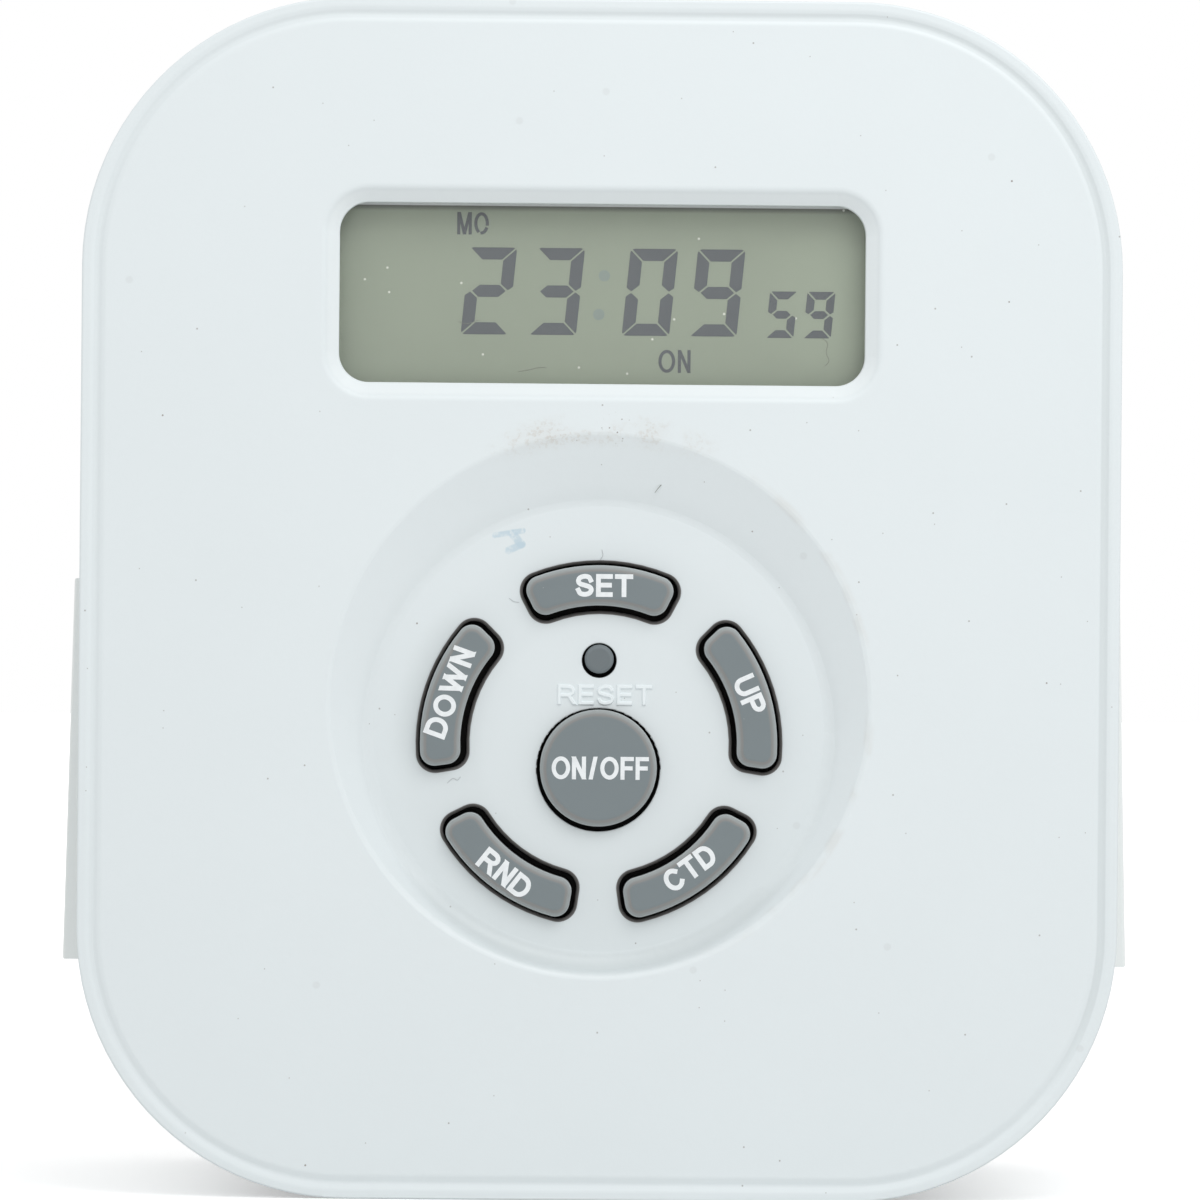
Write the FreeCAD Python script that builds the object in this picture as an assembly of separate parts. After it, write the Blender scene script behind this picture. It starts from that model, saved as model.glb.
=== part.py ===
"""Plug-in digital timer: a white two-part case with a display, seven rubber keys and two side outlets.

Frame: X to the right seen from the front, Y into the wall outlet, Z up, millimetres.
The origin is the middle of the flat back face, which lies against the wall plate.
"""

import FreeCAD, Part
import math
import os

# Case
BODY_WIDTH = 65.0
BODY_HEIGHT = 75.0
BODY_DEPTH = 37.0
BODY_CORNER = 16.8
WALL = 2.2
FRONT_SHELL_DEPTH = 9.0
FRONT_EDGE_ROUND = 0.15
BACK_EDGE_ROUND = 2.4
PARTING_CHAMFER = 0.25
TONGUE_INSET = 1.2
TONGUE_THICKNESS = 0.8
TONGUE_LENGTH = 1.8
TONGUE_CLEARANCE = 0.1

# Groove that runs round the face
GROOVE_INSET = 0.55
GROOVE_WIDTH = 0.93
GROOVE_DEPTH = 0.13
GROOVE_SLOPE = 0.4
GROOVE_FLOOR_ROUND = 0.35
GROOVE_EDGE_ROUND = 0.6

# Display window
WINDOW_WIDTH = 32.9
WINDOW_HEIGHT = 11.26
WINDOW_CORNER = 1.85
WINDOW_Z = 19.13
BEVEL_WIDTH = 0.95
BEVEL_DEPTH = 0.75
BEVEL_EDGE_ROUND = 0.6
LIP_THICKNESS = 0.75
LIP_EDGE_ROUND = 0.1
PANE_MARGIN = 1.3
PANE_THICKNESS = 1.0
PANE_CLEARANCE = 0.1

# Dish round the keys: its rim and its floor are circles with different centres
DISH_RADIUS = 16.9
DISH_Z = -6.5
DISH_DEPTH = 1.7
DISH_FLOOR_RADIUS = 14.5
DISH_FLOOR_Z = -8.4
DISH_FLOOR_THICKNESS = 1.8
DISH_BACKING_MARGIN = 1.6
DISH_RIM_ROUND = 0.5
DISH_FLOOR_ROUND = 1.2

# Keys
RING_Z = -9.0
ARC_KEY_INNER = 8.66
ARC_KEY_OUTER = 11.18
ARC_KEY_HALF_ANGLE = 26.15
ARC_KEY_CORNER = 0.9
LEAST_CORNER = 0.3
ARC_KEY_ANGLES = {
    "set_key": 90.0,
    "up_key": 18.0,
    "countdown_key": -54.0,
    "random_key": -126.0,
    "down_key": 162.0,
}
ARC_GAP_INNER = 0.33
ARC_GAP_OUTER = 0.1
ARC_GAP_ENDS = 0.24
ARC_OPENING_SHIFT = 0.04
ARC_OPENING_ROUND = 0.3
ON_OFF_RADIUS = 3.66
ON_OFF_Z = -10.52
ON_OFF_GAP = 0.18
RESET_RADIUS = 0.91
RESET_Z = -3.7
RESET_GAP = 0.16
KEY_PROUD = 0.95
RESET_PROUD = 0.3
KEY_TOP_ROUND = 0.5
ROUND_OPENING_ROUND = 0.1
ON_OFF_OPENING_DROP = 0.12
RESET_OPENING_DROP = 0.09
KEY_FLANGE_MARGIN = 0.8
RESET_FLANGE_MARGIN = 0.45
KEY_FLANGE_THICKNESS = 0.8
KEY_FLANGE_CLEARANCE = 0.3
KEY_FOOT_INSET = 0.3
KEY_TRAVEL = 0.9
DOME_FOOT_MARGIN = 1.1
RESET_DOME_FOOT_MARGIN = 0.75
DOME_THICKNESS = 0.3
DOME_LEAN = 0.45
MAT_RADIUS = 15.6
MAT_THICKNESS = 1.0
MAT_HOLE_MARGIN = 0.35
MAT_RIB_RADIUS = 15.2
MAT_RIB_THICKNESS = 1.0
PAD_THICKNESS = 0.05
PAD_INSET = 0.6

# Display unit
LCD_SIDE_MARGIN = 0.65
LCD_END_MARGIN = 1.6
LCD_GAP = 0.3
GLASS_THICKNESS = 1.1
LCD_LEDGE = 1.2
FILM_THICKNESS = 0.2
FILM_MARGIN = 0.3
FRAME_WALL = 0.9
FRAME_CLEARANCE = 0.15
ZEBRA_WIDTH = 1.8
ZEBRA_INSET = 0.5

# Boards
BOARD_THICKNESS = 1.6
BOARD_GAP = 2.3
BOARD_CORNER = 12.0
BOARD_NOTCH_CLEARANCE = 0.5
CONTROL_BOARD_DEPTH = 8.0
POWER_BOARD_DISTANCE = 7.9
POWER_BOARD_LOW_Z = 1.5

# Screws
CASE_SCREW_SIDE_INSET = 11.3
CASE_SCREW_END_INSET = 6.9
CASE_BOSS_RADIUS = 3.0
CASE_COLUMN_RADIUS = 4.0
CASE_BOSS_REACH = 13.0
CASE_SCREW_BORE = 3.2
CASE_SCREW_BORE_DEPTH = 14.0
CASE_SCREW_HEAD_RADIUS = 2.75
CASE_SCREW_HEAD_HEIGHT = 2.0
CASE_SCREW_SHANK_RADIUS = 1.25
CASE_SCREW_HOLE_RADIUS = 1.6
CASE_SCREW_BITE = 6.0
CROSS_SLOT_WIDTH = 0.7
CROSS_SLOT_EDGE = 0.9
CROSS_SLOT_DEPTH = 0.9
BOARD_POST_RADIUS = 2.4
BOARD_SCREW_HEAD_RADIUS = 1.9
BOARD_SCREW_HEAD_HEIGHT = 1.2
BOARD_SCREW_SHANK_RADIUS = 0.9
BOARD_SCREW_BITE = 3.6
BOARD_SCREW_INSET = 4.0
SCREW_HEAD_ROUND = 0.4
CONTROL_SCREW_HIGH_Z = 5.0
CONTROL_SCREW_LOW_Z = -17.0
POWER_SCREW_Z = 8.0
POWER_SCREW_TOP_X = -3.0
POWER_SCREW_TOP_INSET = 2.6

# Plug, with the dimensions of a grounded 15 A, 125 V plug
PLUG_Z = 18.0
BLADE_SPACING = 12.7
BLADE_THICKNESS = 1.5
LINE_BLADE_WIDTH = 6.35
NEUTRAL_BLADE_WIDTH = 7.9
BLADE_LENGTH = 17.5
BLADE_TIP = 1.2
BLADE_TIP_BEVEL = 0.5
BLADE_CLEARANCE = 0.1
SHOULDER_WIDTH = 1.2
SHOULDER_THICKNESS = 1.2
TAIL_WIDTH = 4.0
GROUND_DROP = 11.9
GROUND_PIN_RADIUS = 2.4
GROUND_PIN_LENGTH = 20.6
GROUND_PIN_TIP_ROUND = 1.7
GROUND_NECK_RADIUS = 2.8
GROUND_FLANGE_RADIUS = 4.2
GROUND_FLANGE_THICKNESS = 1.4
GROUND_RIVET_RADIUS = 1.5
GROUND_RIVET_LENGTH = 1.8
RETAINER_WIDTH = 26.0
RETAINER_HEIGHT = 11.0
STRIP_THICKNESS = 0.8

# Side outlets
OUTLET_Z = -11.0
OUTLET_PAD_HEIGHT = 24.2
OUTLET_PAD_DEPTH = 23.0
OUTLET_PAD_SETBACK = 0.5
OUTLET_PAD_RISE_TOP = 0.75
OUTLET_PAD_RISE_LOW = 1.32
OUTLET_PAD_CORNER = 0.15
OUTLET_PAD_WALL = 3.9
OUTLET_BLADE_RISE = 5.3
SLOT_THICKNESS = 2.2
SLOT_MARGIN = 0.5
GROUND_HOLE_RADIUS = 2.7
INSERT_LENGTH = 14.7
INSERT_WIDTH = 18.8
INSERT_HEIGHT = 20.6
INSERT_SKIN = 1.5
INSERT_RIB_THICKNESS = 1.6
INSERT_HOLE_MARGIN = 0.35
CONTACT_WIDTH = 7.8
LEAF_THICKNESS = 0.6
LEAF_GAP = 1.6
CONTACT_CLEARANCE = 0.1
GROUND_TUBE_RADIUS = 3.2
GROUND_TUBE_BORE = 2.45
GROUND_TUBE_LENGTH = 14.5
BUS_SPREAD = 2.75
BUS_WIDTH = 5.0
BUS_TURN = 2.0
RISER_GAP = 1.6
RISER_WIDTH = 4.0
RISER_TOP_Z = 6.0
GROUND_BUS_HALF_WIDTH = 3.0
GROUND_BUS_BAND = 5.3

# Label recess in the back, left bare
LABEL_WIDTH = 34.0
LABEL_HEIGHT = 18.0
LABEL_Z = -21.0
LABEL_DEPTH = 0.3
LABEL_CORNER = 1.5

# Parts on the boards
RELAY_X = (0.0, 18.6)
RELAY_Z = (8.0, 23.5)
RELAY_CLEARANCE = 2.4
RELAY_BASE = 1.5
RELAY_WALL = 0.6
COIL_X = 7.0
COIL_RADIUS = 4.2
COIL_FLANGE = 0.6
CORE_RADIUS = 2.0
YOKE_X = 12.4
YOKE_THICKNESS = 1.0
YOKE_HALF_WIDTH = 4.2
ARMATURE_GAP = 0.5
ARMATURE_THICKNESS = 0.8
ARMATURE_CLEARANCE = 1.5
ARMATURE_LEG_INSET = 1.0
ARMATURE_PIVOT_GAP = 0.15
CONTACT_BUTTON = 0.9
CONTACT_GAP = 0.5
CAPACITOR_X = (-18.0, -1.0)
CAPACITOR_Z = (15.4, 23.4)
CAPACITOR_CLEARANCE = 4.4
SMOOTHING_X = -6.5
SMOOTHING_Z = 10.2
SMOOTHING_RADIUS = 4.0
SMOOTHING_HEIGHT = 12.0
VARISTOR_X = -15.0
VARISTOR_Z = 9.5
VARISTOR_RADIUS = 4.5
VARISTOR_THICKNESS = 3.4
LEAD_RADIUS = 0.35
LEAD_HEIGHT = 1.0
LEAD_BEND = 0.8
RESISTOR_X = 7.0
RESISTOR_Z = 26.2
RESISTOR_RADIUS = 1.6
RESISTOR_LENGTH = 9.0
DIODE_PLACES = [(-12.0, 4.0), (-4.0, 4.0), (4.0, 4.0), (12.0, 4.0)]
DIODE_RADIUS = 1.2
DIODE_LENGTH = 4.6
LINK_INSET = 3.5
LINK_Z = 13.5
LINK_PITCH = 2.2
LINK_COUNT = 5
LINK_PIN = 0.64
LINK_SPACER_WIDTH = 2.5
LINK_SPACER_DEPTH = 2.6
CHIP_RADIUS = 5.5
CHIP_HEIGHT = 1.3
CHIP_Z = 19.0
CRYSTAL_RADIUS = 1.0
CRYSTAL_LENGTH = 6.0
CRYSTAL_ROUND = 0.35
CRYSTAL_SCREW_GAP = 2.1
CRYSTAL_Z = 4.0
CHIP_PART_SIZE = (2.0, 0.6, 1.25)
CHIP_PART_PLACES = [(-14, 24), (-14, 20), (-14, 16), (14, 24), (14, 20), (-6, 9), (0, 9), (6, 9), (20, 14)]
BATTERY_RADIUS = 5.5
BATTERY_HEIGHT = 5.3
BATTERY_ROUND = 0.65
BATTERY_INSET = 7.0
TAB_THICKNESS = 0.3
TAB_WIDTH = 3.0
TAB_OVERHANG = 1.0

# How far a cutter runs past a face, and how near two heights count as equal
CUT_PAST = 1.0
NEAR = 0.0001

BOARD_WIDTH = BODY_WIDTH - 2 * (WALL + BOARD_GAP)
BOARD_HEIGHT = BODY_HEIGHT - 2 * (WALL + BOARD_GAP)
LCD_WIDTH = WINDOW_WIDTH + 2 * LCD_SIDE_MARGIN
LCD_HEIGHT = WINDOW_HEIGHT + 2 * LCD_END_MARGIN
CASE_SCREW_X = BODY_WIDTH / 2 - CASE_SCREW_SIDE_INSET
CASE_SCREW_Z = BODY_HEIGHT / 2 - CASE_SCREW_END_INSET
BOARD_SCREW_X = BOARD_WIDTH / 2 - BOARD_SCREW_INSET
CONTROL_SCREW_LEVELS = (CONTROL_SCREW_LOW_Z, CONTROL_SCREW_HIGH_Z)
CONTROL_POSTS = [(x, z) for x in (-BOARD_SCREW_X, BOARD_SCREW_X) for z in CONTROL_SCREW_LEVELS]
POWER_TOP_SCREW = (POWER_SCREW_TOP_X, BOARD_HEIGHT / 2 - POWER_SCREW_TOP_INSET)
POWER_POSTS = [(-BOARD_SCREW_X, POWER_SCREW_Z), (BOARD_SCREW_X, POWER_SCREW_Z), POWER_TOP_SCREW]
LINK_X = LINK_INSET - BOARD_WIDTH / 2
BATTERY_Z = BATTERY_INSET - BOARD_HEIGHT / 2
CRYSTAL_X = BOARD_SCREW_X - BOARD_SCREW_HEAD_RADIUS - CRYSTAL_SCREW_GAP - CRYSTAL_LENGTH
FACE_Y = -BODY_DEPTH
FACE_INSIDE_Y = FACE_Y + WALL
PARTING_Y = FACE_Y + FRONT_SHELL_DEPTH
BACK_INSIDE_Y = -WALL
FLOOR_Y = FACE_Y + DISH_DEPTH
FLOOR_INSIDE_Y = FLOOR_Y + DISH_FLOOR_THICKNESS
BOARD_FRONT_Y = FACE_Y + CONTROL_BOARD_DEPTH
BOARD_BACK_Y = BOARD_FRONT_Y + BOARD_THICKNESS
MAT_FRONT_Y = BOARD_FRONT_Y - MAT_THICKNESS
FLANGE_FRONT_Y = FLOOR_INSIDE_Y + KEY_FLANGE_CLEARANCE
FLANGE_BACK_Y = FLANGE_FRONT_Y + KEY_FLANGE_THICKNESS
KEY_FOOT_Y = BOARD_FRONT_Y - PAD_THICKNESS - KEY_TRAVEL - PAD_THICKNESS
PANE_FRONT_Y = FACE_Y + BEVEL_DEPTH + LIP_THICKNESS
PANE_BACK_Y = PANE_FRONT_Y + PANE_THICKNESS
LCD_FRONT_Y = PANE_BACK_Y + LCD_GAP
GLASS_FRONT_Y = LCD_FRONT_Y + FILM_THICKNESS
GLASS_BACK_Y = GLASS_FRONT_Y + 2 * GLASS_THICKNESS
BOSS_END_Y = FACE_Y + CASE_BOSS_REACH
POWER_BACK_Y = -POWER_BOARD_DISTANCE
POWER_FRONT_Y = POWER_BACK_Y - BOARD_THICKNESS
RELAY_HEIGHT = POWER_FRONT_Y - BOARD_BACK_Y - RELAY_CLEARANCE
CAPACITOR_HEIGHT = POWER_FRONT_Y - BOARD_BACK_Y - CAPACITOR_CLEARANCE
COIL_FOOT_Y = POWER_FRONT_Y - RELAY_BASE - YOKE_THICKNESS
ARMATURE_TOP_Y = POWER_FRONT_Y - RELAY_HEIGHT + RELAY_WALL + ARMATURE_CLEARANCE
ARMATURE_Y = ARMATURE_TOP_Y + ARMATURE_THICKNESS
CORE_FACE_Y = ARMATURE_Y + ARMATURE_GAP
COIL_LENGTH = COIL_FOOT_Y - CORE_FACE_Y - COIL_FLANGE
ARMATURE_LEG = COIL_LENGTH - ARMATURE_LEG_INSET
RELAY_MIDDLE_Z = sum(RELAY_Z) / 2
GROUND_Z = PLUG_Z - GROUND_DROP
OUTLET_Y = PARTING_Y + OUTLET_PAD_SETBACK + OUTLET_PAD_DEPTH / 2
OUTLET_PAD_Y = (OUTLET_Y - OUTLET_PAD_DEPTH / 2, OUTLET_Y + OUTLET_PAD_DEPTH / 2)
OUTLET_PAD_Z = (OUTLET_Z - OUTLET_PAD_HEIGHT / 2, OUTLET_Z + OUTLET_PAD_HEIGHT / 2)
OUTLET_INSIDE_X = BODY_WIDTH / 2 + OUTLET_PAD_RISE_TOP - OUTLET_PAD_WALL
OUTLET_BLADE_Z = OUTLET_Z + OUTLET_BLADE_RISE
OUTLET_GROUND_Z = OUTLET_BLADE_Z - GROUND_DROP
INSERT_INNER_X = OUTLET_INSIDE_X - INSERT_LENGTH
INSERT_Y = (OUTLET_Y - INSERT_WIDTH / 2, OUTLET_Y + INSERT_WIDTH / 2)
INSERT_Z = (OUTLET_Z - INSERT_HEIGHT / 2, OUTLET_Z + INSERT_HEIGHT / 2)
CONTACT_REACH_X = OUTLET_INSIDE_X - INSERT_SKIN
GROUND_TUBE_OUTER_X = CONTACT_REACH_X - INSERT_SKIN
GROUND_TUBE_INNER_X = GROUND_TUBE_OUTER_X - GROUND_TUBE_LENGTH
SHOULDER_Y = BACK_INSIDE_Y - SHOULDER_THICKNESS
GROUND_BUS_Y = BACK_INSIDE_Y - GROUND_FLANGE_THICKNESS
HALF_PITCH = BLADE_SPACING / 2
SIDES = {"right": 1, "left": -1}
CASE_SCREWS = [(x, z) for x in (-CASE_SCREW_X, CASE_SCREW_X) for z in (-CASE_SCREW_Z, CASE_SCREW_Z)]
Y_AXIS = FreeCAD.Vector(0, 1, 0)
X_AXIS = FreeCAD.Vector(1, 0, 0)


def point(x, y, z):
    return FreeCAD.Vector(x, y, z)


def block(x, y, z):
    """A box from three (low, high) pairs, in either order."""
    lows = [min(pair) for pair in (x, y, z)]
    sizes = [abs(pair[1] - pair[0]) for pair in (x, y, z)]
    return Part.makeBox(*sizes, point(*lows))


def rod(radius, y0, y1, x=0.0, z=0.0):
    """A cylinder along Y."""
    low, high = sorted((y0, y1))
    return Part.makeCylinder(radius, high - low, point(x, low, z), Y_AXIS)


def cross_rod(radius, x0, x1, y, z):
    """A cylinder along X."""
    low, high = sorted((x0, x1))
    return Part.makeCylinder(radius, high - low, point(low, y, z), X_AXIS)


def rounded_outline(width, height, corner, y, z=0.0):
    """A rounded rectangle in the plane at y, centred on x = 0 and the given z."""
    w, h = width / 2, height / 2
    edges = []
    for turn, (sx, sz) in enumerate([(1, 1), (-1, 1), (-1, -1), (1, -1)]):
        centre = (sx * (w - corner), z + sz * (h - corner))
        spots = []
        for step in (0, 1, 2):
            angle = math.radians(90 * turn + 45 * step)
            reach = (corner * math.cos(angle), corner * math.sin(angle))
            spots.append(point(centre[0] + reach[0], y, centre[1] + reach[1]))
        if edges:
            edges.append(Part.LineSegment(edges[-1].EndPoint, spots[0]))
        edges.append(Part.Arc(*spots))
    edges.append(Part.LineSegment(edges[-1].EndPoint, edges[0].StartPoint))
    return Part.Wire([edge.toShape() for edge in edges])


def slab(wire, y0, y1):
    """A flat outline at y0 pushed through to y1."""
    return Part.Face(wire).extrude(point(0, y1 - y0, 0))


def panel(width, height, corner, y0, y1, z=0.0):
    return slab(rounded_outline(width, height, corner, y0, z), y0, y1)


def body_slab(inset, y0, y1):
    """The case outline, drawn in by inset, from y0 to y1."""
    return panel(BODY_WIDTH - 2 * inset, BODY_HEIGHT - 2 * inset, BODY_CORNER - inset, y0, y1)


def taper(wire_a, wire_b):
    """A solid between two outlines with the same number of edges."""
    return Part.makeLoft([wire_a, wire_b], True, True)


def circle_outline(radius, y, z):
    return Part.Wire(Part.makeCircle(radius, point(0, y, z), Y_AXIS))


def edges_at(shape, y, inside=None):
    """Edges in the plane at y. With inside, a (radius, z) pair, only those within that radius of (0, z)."""
    found = []
    for edge in shape.Edges:
        box = edge.BoundBox
        if max(abs(box.YMin - y), abs(box.YMax - y)) > NEAR:
            continue
        if inside is not None:
            radius, z = inside
            far = max(abs(box.XMin), abs(box.XMax), abs(box.ZMin - z), abs(box.ZMax - z))
            if far > radius:
                continue
        found.append(edge)
    return found


def on_outline(edge):
    """True if the edge lies on the outside of the case, seen from the front."""
    box = edge.BoundBox
    across = max(abs(box.XMin), abs(box.XMax)) > BODY_WIDTH / 2 - NEAR
    return across or max(abs(box.ZMin), abs(box.ZMax)) > BODY_HEIGHT / 2 - NEAR


def joined(shapes):
    first, *rest = shapes
    return first.multiFuse(rest).removeSplitter() if rest else first


def arc_face(inner, outer, half_angle, y):
    """The flat face of a ring sector about the key ring's centre, straight up."""
    spots = []
    for radius, angle in ((inner, -half_angle), (inner, 0), (inner, half_angle),
                          (outer, half_angle), (outer, 0), (outer, -half_angle)):
        turn = math.radians(angle)
        spots.append(point(radius * math.sin(turn), y, RING_Z + radius * math.cos(turn)))
    edges = [
        Part.Arc(*spots[:3]).toShape(),
        Part.LineSegment(spots[2], spots[3]).toShape(),
        Part.Arc(*spots[3:]).toShape(),
        Part.LineSegment(spots[5], spots[0]).toShape(),
    ]
    return Part.Face(Part.Wire(edges))


def arc_outline(grow_inner, grow_outer, grow_ends, y):
    """An arc key's outline, grown by the three margins and with its corners rounded to match."""
    inner = ARC_KEY_INNER - grow_inner
    outer = ARC_KEY_OUTER + grow_outer
    half_angle = ARC_KEY_HALF_ANGLE + math.degrees(grow_ends / ((inner + outer) / 2))
    corner = max(LEAST_CORNER, ARC_KEY_CORNER + min(grow_inner, grow_outer, grow_ends))
    solid = arc_face(inner, outer, half_angle, y).extrude(point(0, CUT_PAST, 0))
    upright = [e for e in solid.Edges if e.BoundBox.YLength > CUT_PAST - NEAR]
    solid = solid.makeFillet(corner, upright)
    flat = [f for f in solid.Faces if f.BoundBox.YMax < y + NEAR]
    return flat[0].OuterWire


def key_outline(name, margin, y):
    """The outline of any key, grown by margin. An arc key is drawn at the top of the ring."""
    if name == "on_off_key":
        return circle_outline(ON_OFF_RADIUS + margin, y, ON_OFF_Z)
    if name == "reset_key":
        return circle_outline(RESET_RADIUS + margin, y, RESET_Z)
    return arc_outline(margin, margin, margin, y)


def turned(name, shape):
    """An arc key's piece turned from the top of the ring to the key's own place."""
    angle = ARC_KEY_ANGLES.get(name, 90.0) - 90.0
    if angle:
        shape.rotate(point(0, 0, RING_Z), Y_AXIS, -angle)
    return shape


KEY_NAMES = [*ARC_KEY_ANGLES, "on_off_key", "reset_key"]


def key_margins(name):
    """(flange margin, dome foot margin, height over the dish floor) of a key."""
    if name == "reset_key":
        return RESET_FLANGE_MARGIN, RESET_DOME_FOOT_MARGIN, RESET_PROUD
    return KEY_FLANGE_MARGIN, DOME_FOOT_MARGIN, KEY_PROUD


def key(name):
    """A rubber key: a column with a rounded top, a flange behind the shell and a foot over its pad."""
    flange_margin, _, proud = key_margins(name)
    top_y = FLOOR_Y - proud
    column = slab(key_outline(name, 0.0, top_y), top_y, FLANGE_FRONT_Y)
    column = column.makeFillet(min(KEY_TOP_ROUND, proud), edges_at(column, top_y))
    flange = slab(key_outline(name, flange_margin, FLANGE_FRONT_Y), FLANGE_FRONT_Y, FLANGE_BACK_Y)
    foot = slab(key_outline(name, -KEY_FOOT_INSET, FLANGE_BACK_Y), FLANGE_BACK_Y, KEY_FOOT_Y)
    return turned(name, joined([column, flange, foot]))


def key_dome(name):
    """The thin collapsing wall between the mat and a key's flange."""
    _, foot_margin, _ = key_margins(name)
    head_margin = foot_margin - DOME_LEAN
    outer = taper(
        key_outline(name, foot_margin, MAT_FRONT_Y), key_outline(name, head_margin, FLANGE_BACK_Y)
    )
    inner = taper(
        key_outline(name, foot_margin - DOME_THICKNESS, MAT_FRONT_Y),
        key_outline(name, head_margin - DOME_THICKNESS, FLANGE_BACK_Y),
    )
    return turned(name, outer.cut(inner))


def key_opening(name):
    """The hole in the dish floor for a key. An arc key's is wider on its inner side and a little to the right."""
    y0, y1 = FLOOR_Y - CUT_PAST, FLOOR_INSIDE_Y + CUT_PAST
    if name == "on_off_key":
        return rod(ON_OFF_RADIUS + ON_OFF_GAP, y0, y1, 0, ON_OFF_Z - ON_OFF_OPENING_DROP)
    if name == "reset_key":
        return rod(RESET_RADIUS + RESET_GAP, y0, y1, 0, RESET_Z - RESET_OPENING_DROP)
    hole = turned(name, slab(arc_outline(ARC_GAP_INNER, ARC_GAP_OUTER, ARC_GAP_ENDS, y0), y0, y1))
    return hole.translated(point(ARC_OPENING_SHIFT, 0, 0))


def with_key_openings(shell):
    """The front shell with the holes for the keys and their rounded edges."""
    arcs = (ARC_KEY_OUTER + ARC_GAP_OUTER + ARC_OPENING_SHIFT + NEAR, RING_Z)
    on_off = (ON_OFF_RADIUS + ON_OFF_GAP + NEAR, ON_OFF_Z - ON_OFF_OPENING_DROP)
    reset = (RESET_RADIUS + RESET_GAP + NEAR, RESET_Z - RESET_OPENING_DROP)
    for names, circle, rounding in (
        (ARC_KEY_ANGLES, arcs, ARC_OPENING_ROUND),
        (["on_off_key"], on_off, ROUND_OPENING_ROUND),
        (["reset_key"], reset, ROUND_OPENING_ROUND),
    ):
        shell = shell.cut([key_opening(name) for name in names])
        shell = shell.makeFillet(rounding, edges_at(shell, FLOOR_Y, circle))
    return shell


def keypad_mat():
    mat = rod(MAT_RADIUS, MAT_FRONT_Y, BOARD_FRONT_Y, 0, RING_Z)
    margin = MAT_HOLE_MARGIN - KEY_FOOT_INSET
    holes = []
    for name in KEY_NAMES:
        hole = slab(key_outline(name, margin, MAT_FRONT_Y), MAT_FRONT_Y, BOARD_FRONT_Y)
        holes.append(turned(name, hole))
    return mat.cut(holes)


def key_contact_pads():
    front_y = BOARD_FRONT_Y - PAD_THICKNESS
    pads = []
    for name in KEY_NAMES:
        pad = slab(key_outline(name, -PAD_INSET, front_y), front_y, BOARD_FRONT_Y)
        pads.append(turned(name, pad))
    return Part.makeCompound(pads)


def groove():
    """The ring with sloping sides and a rounded floor that is cut round the face."""
    floor_y = FACE_Y + GROOVE_DEPTH

    def plug(face_inset, floor_inset):
        outlines = [
            rounded_outline(BODY_WIDTH - 2 * inset, BODY_HEIGHT - 2 * inset, BODY_CORNER - inset, y)
            for inset, y in ((face_inset, FACE_Y), (floor_inset, floor_y))
        ]
        return taper(*outlines)

    inner_inset = GROOVE_INSET + GROOVE_WIDTH
    ring = plug(GROOVE_INSET, GROOVE_INSET + GROOVE_SLOPE)
    ring = ring.cut(plug(inner_inset, inner_inset - GROOVE_SLOPE))
    return ring.makeFillet(GROOVE_FLOOR_ROUND, edges_at(ring, floor_y))


def window_bevel():
    outlines = []
    for grow, y in ((BEVEL_WIDTH, FACE_Y), (0.0, FACE_Y + BEVEL_DEPTH)):
        size = (WINDOW_WIDTH + 2 * grow, WINDOW_HEIGHT + 2 * grow)
        outlines.append(rounded_outline(*size, WINDOW_CORNER + grow, y, WINDOW_Z))
    return taper(*outlines)


def dish():
    rim = circle_outline(DISH_RADIUS, FACE_Y, DISH_Z)
    hollow = taper(rim, circle_outline(DISH_FLOOR_RADIUS, FLOOR_Y, DISH_FLOOR_Z))
    return hollow.makeFillet(DISH_FLOOR_ROUND, edges_at(hollow, FLOOR_Y))


def pane_size(extra=0.0):
    grow = 2 * (PANE_MARGIN + extra)
    return WINDOW_WIDTH + grow, WINDOW_HEIGHT + grow, WINDOW_CORNER


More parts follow.
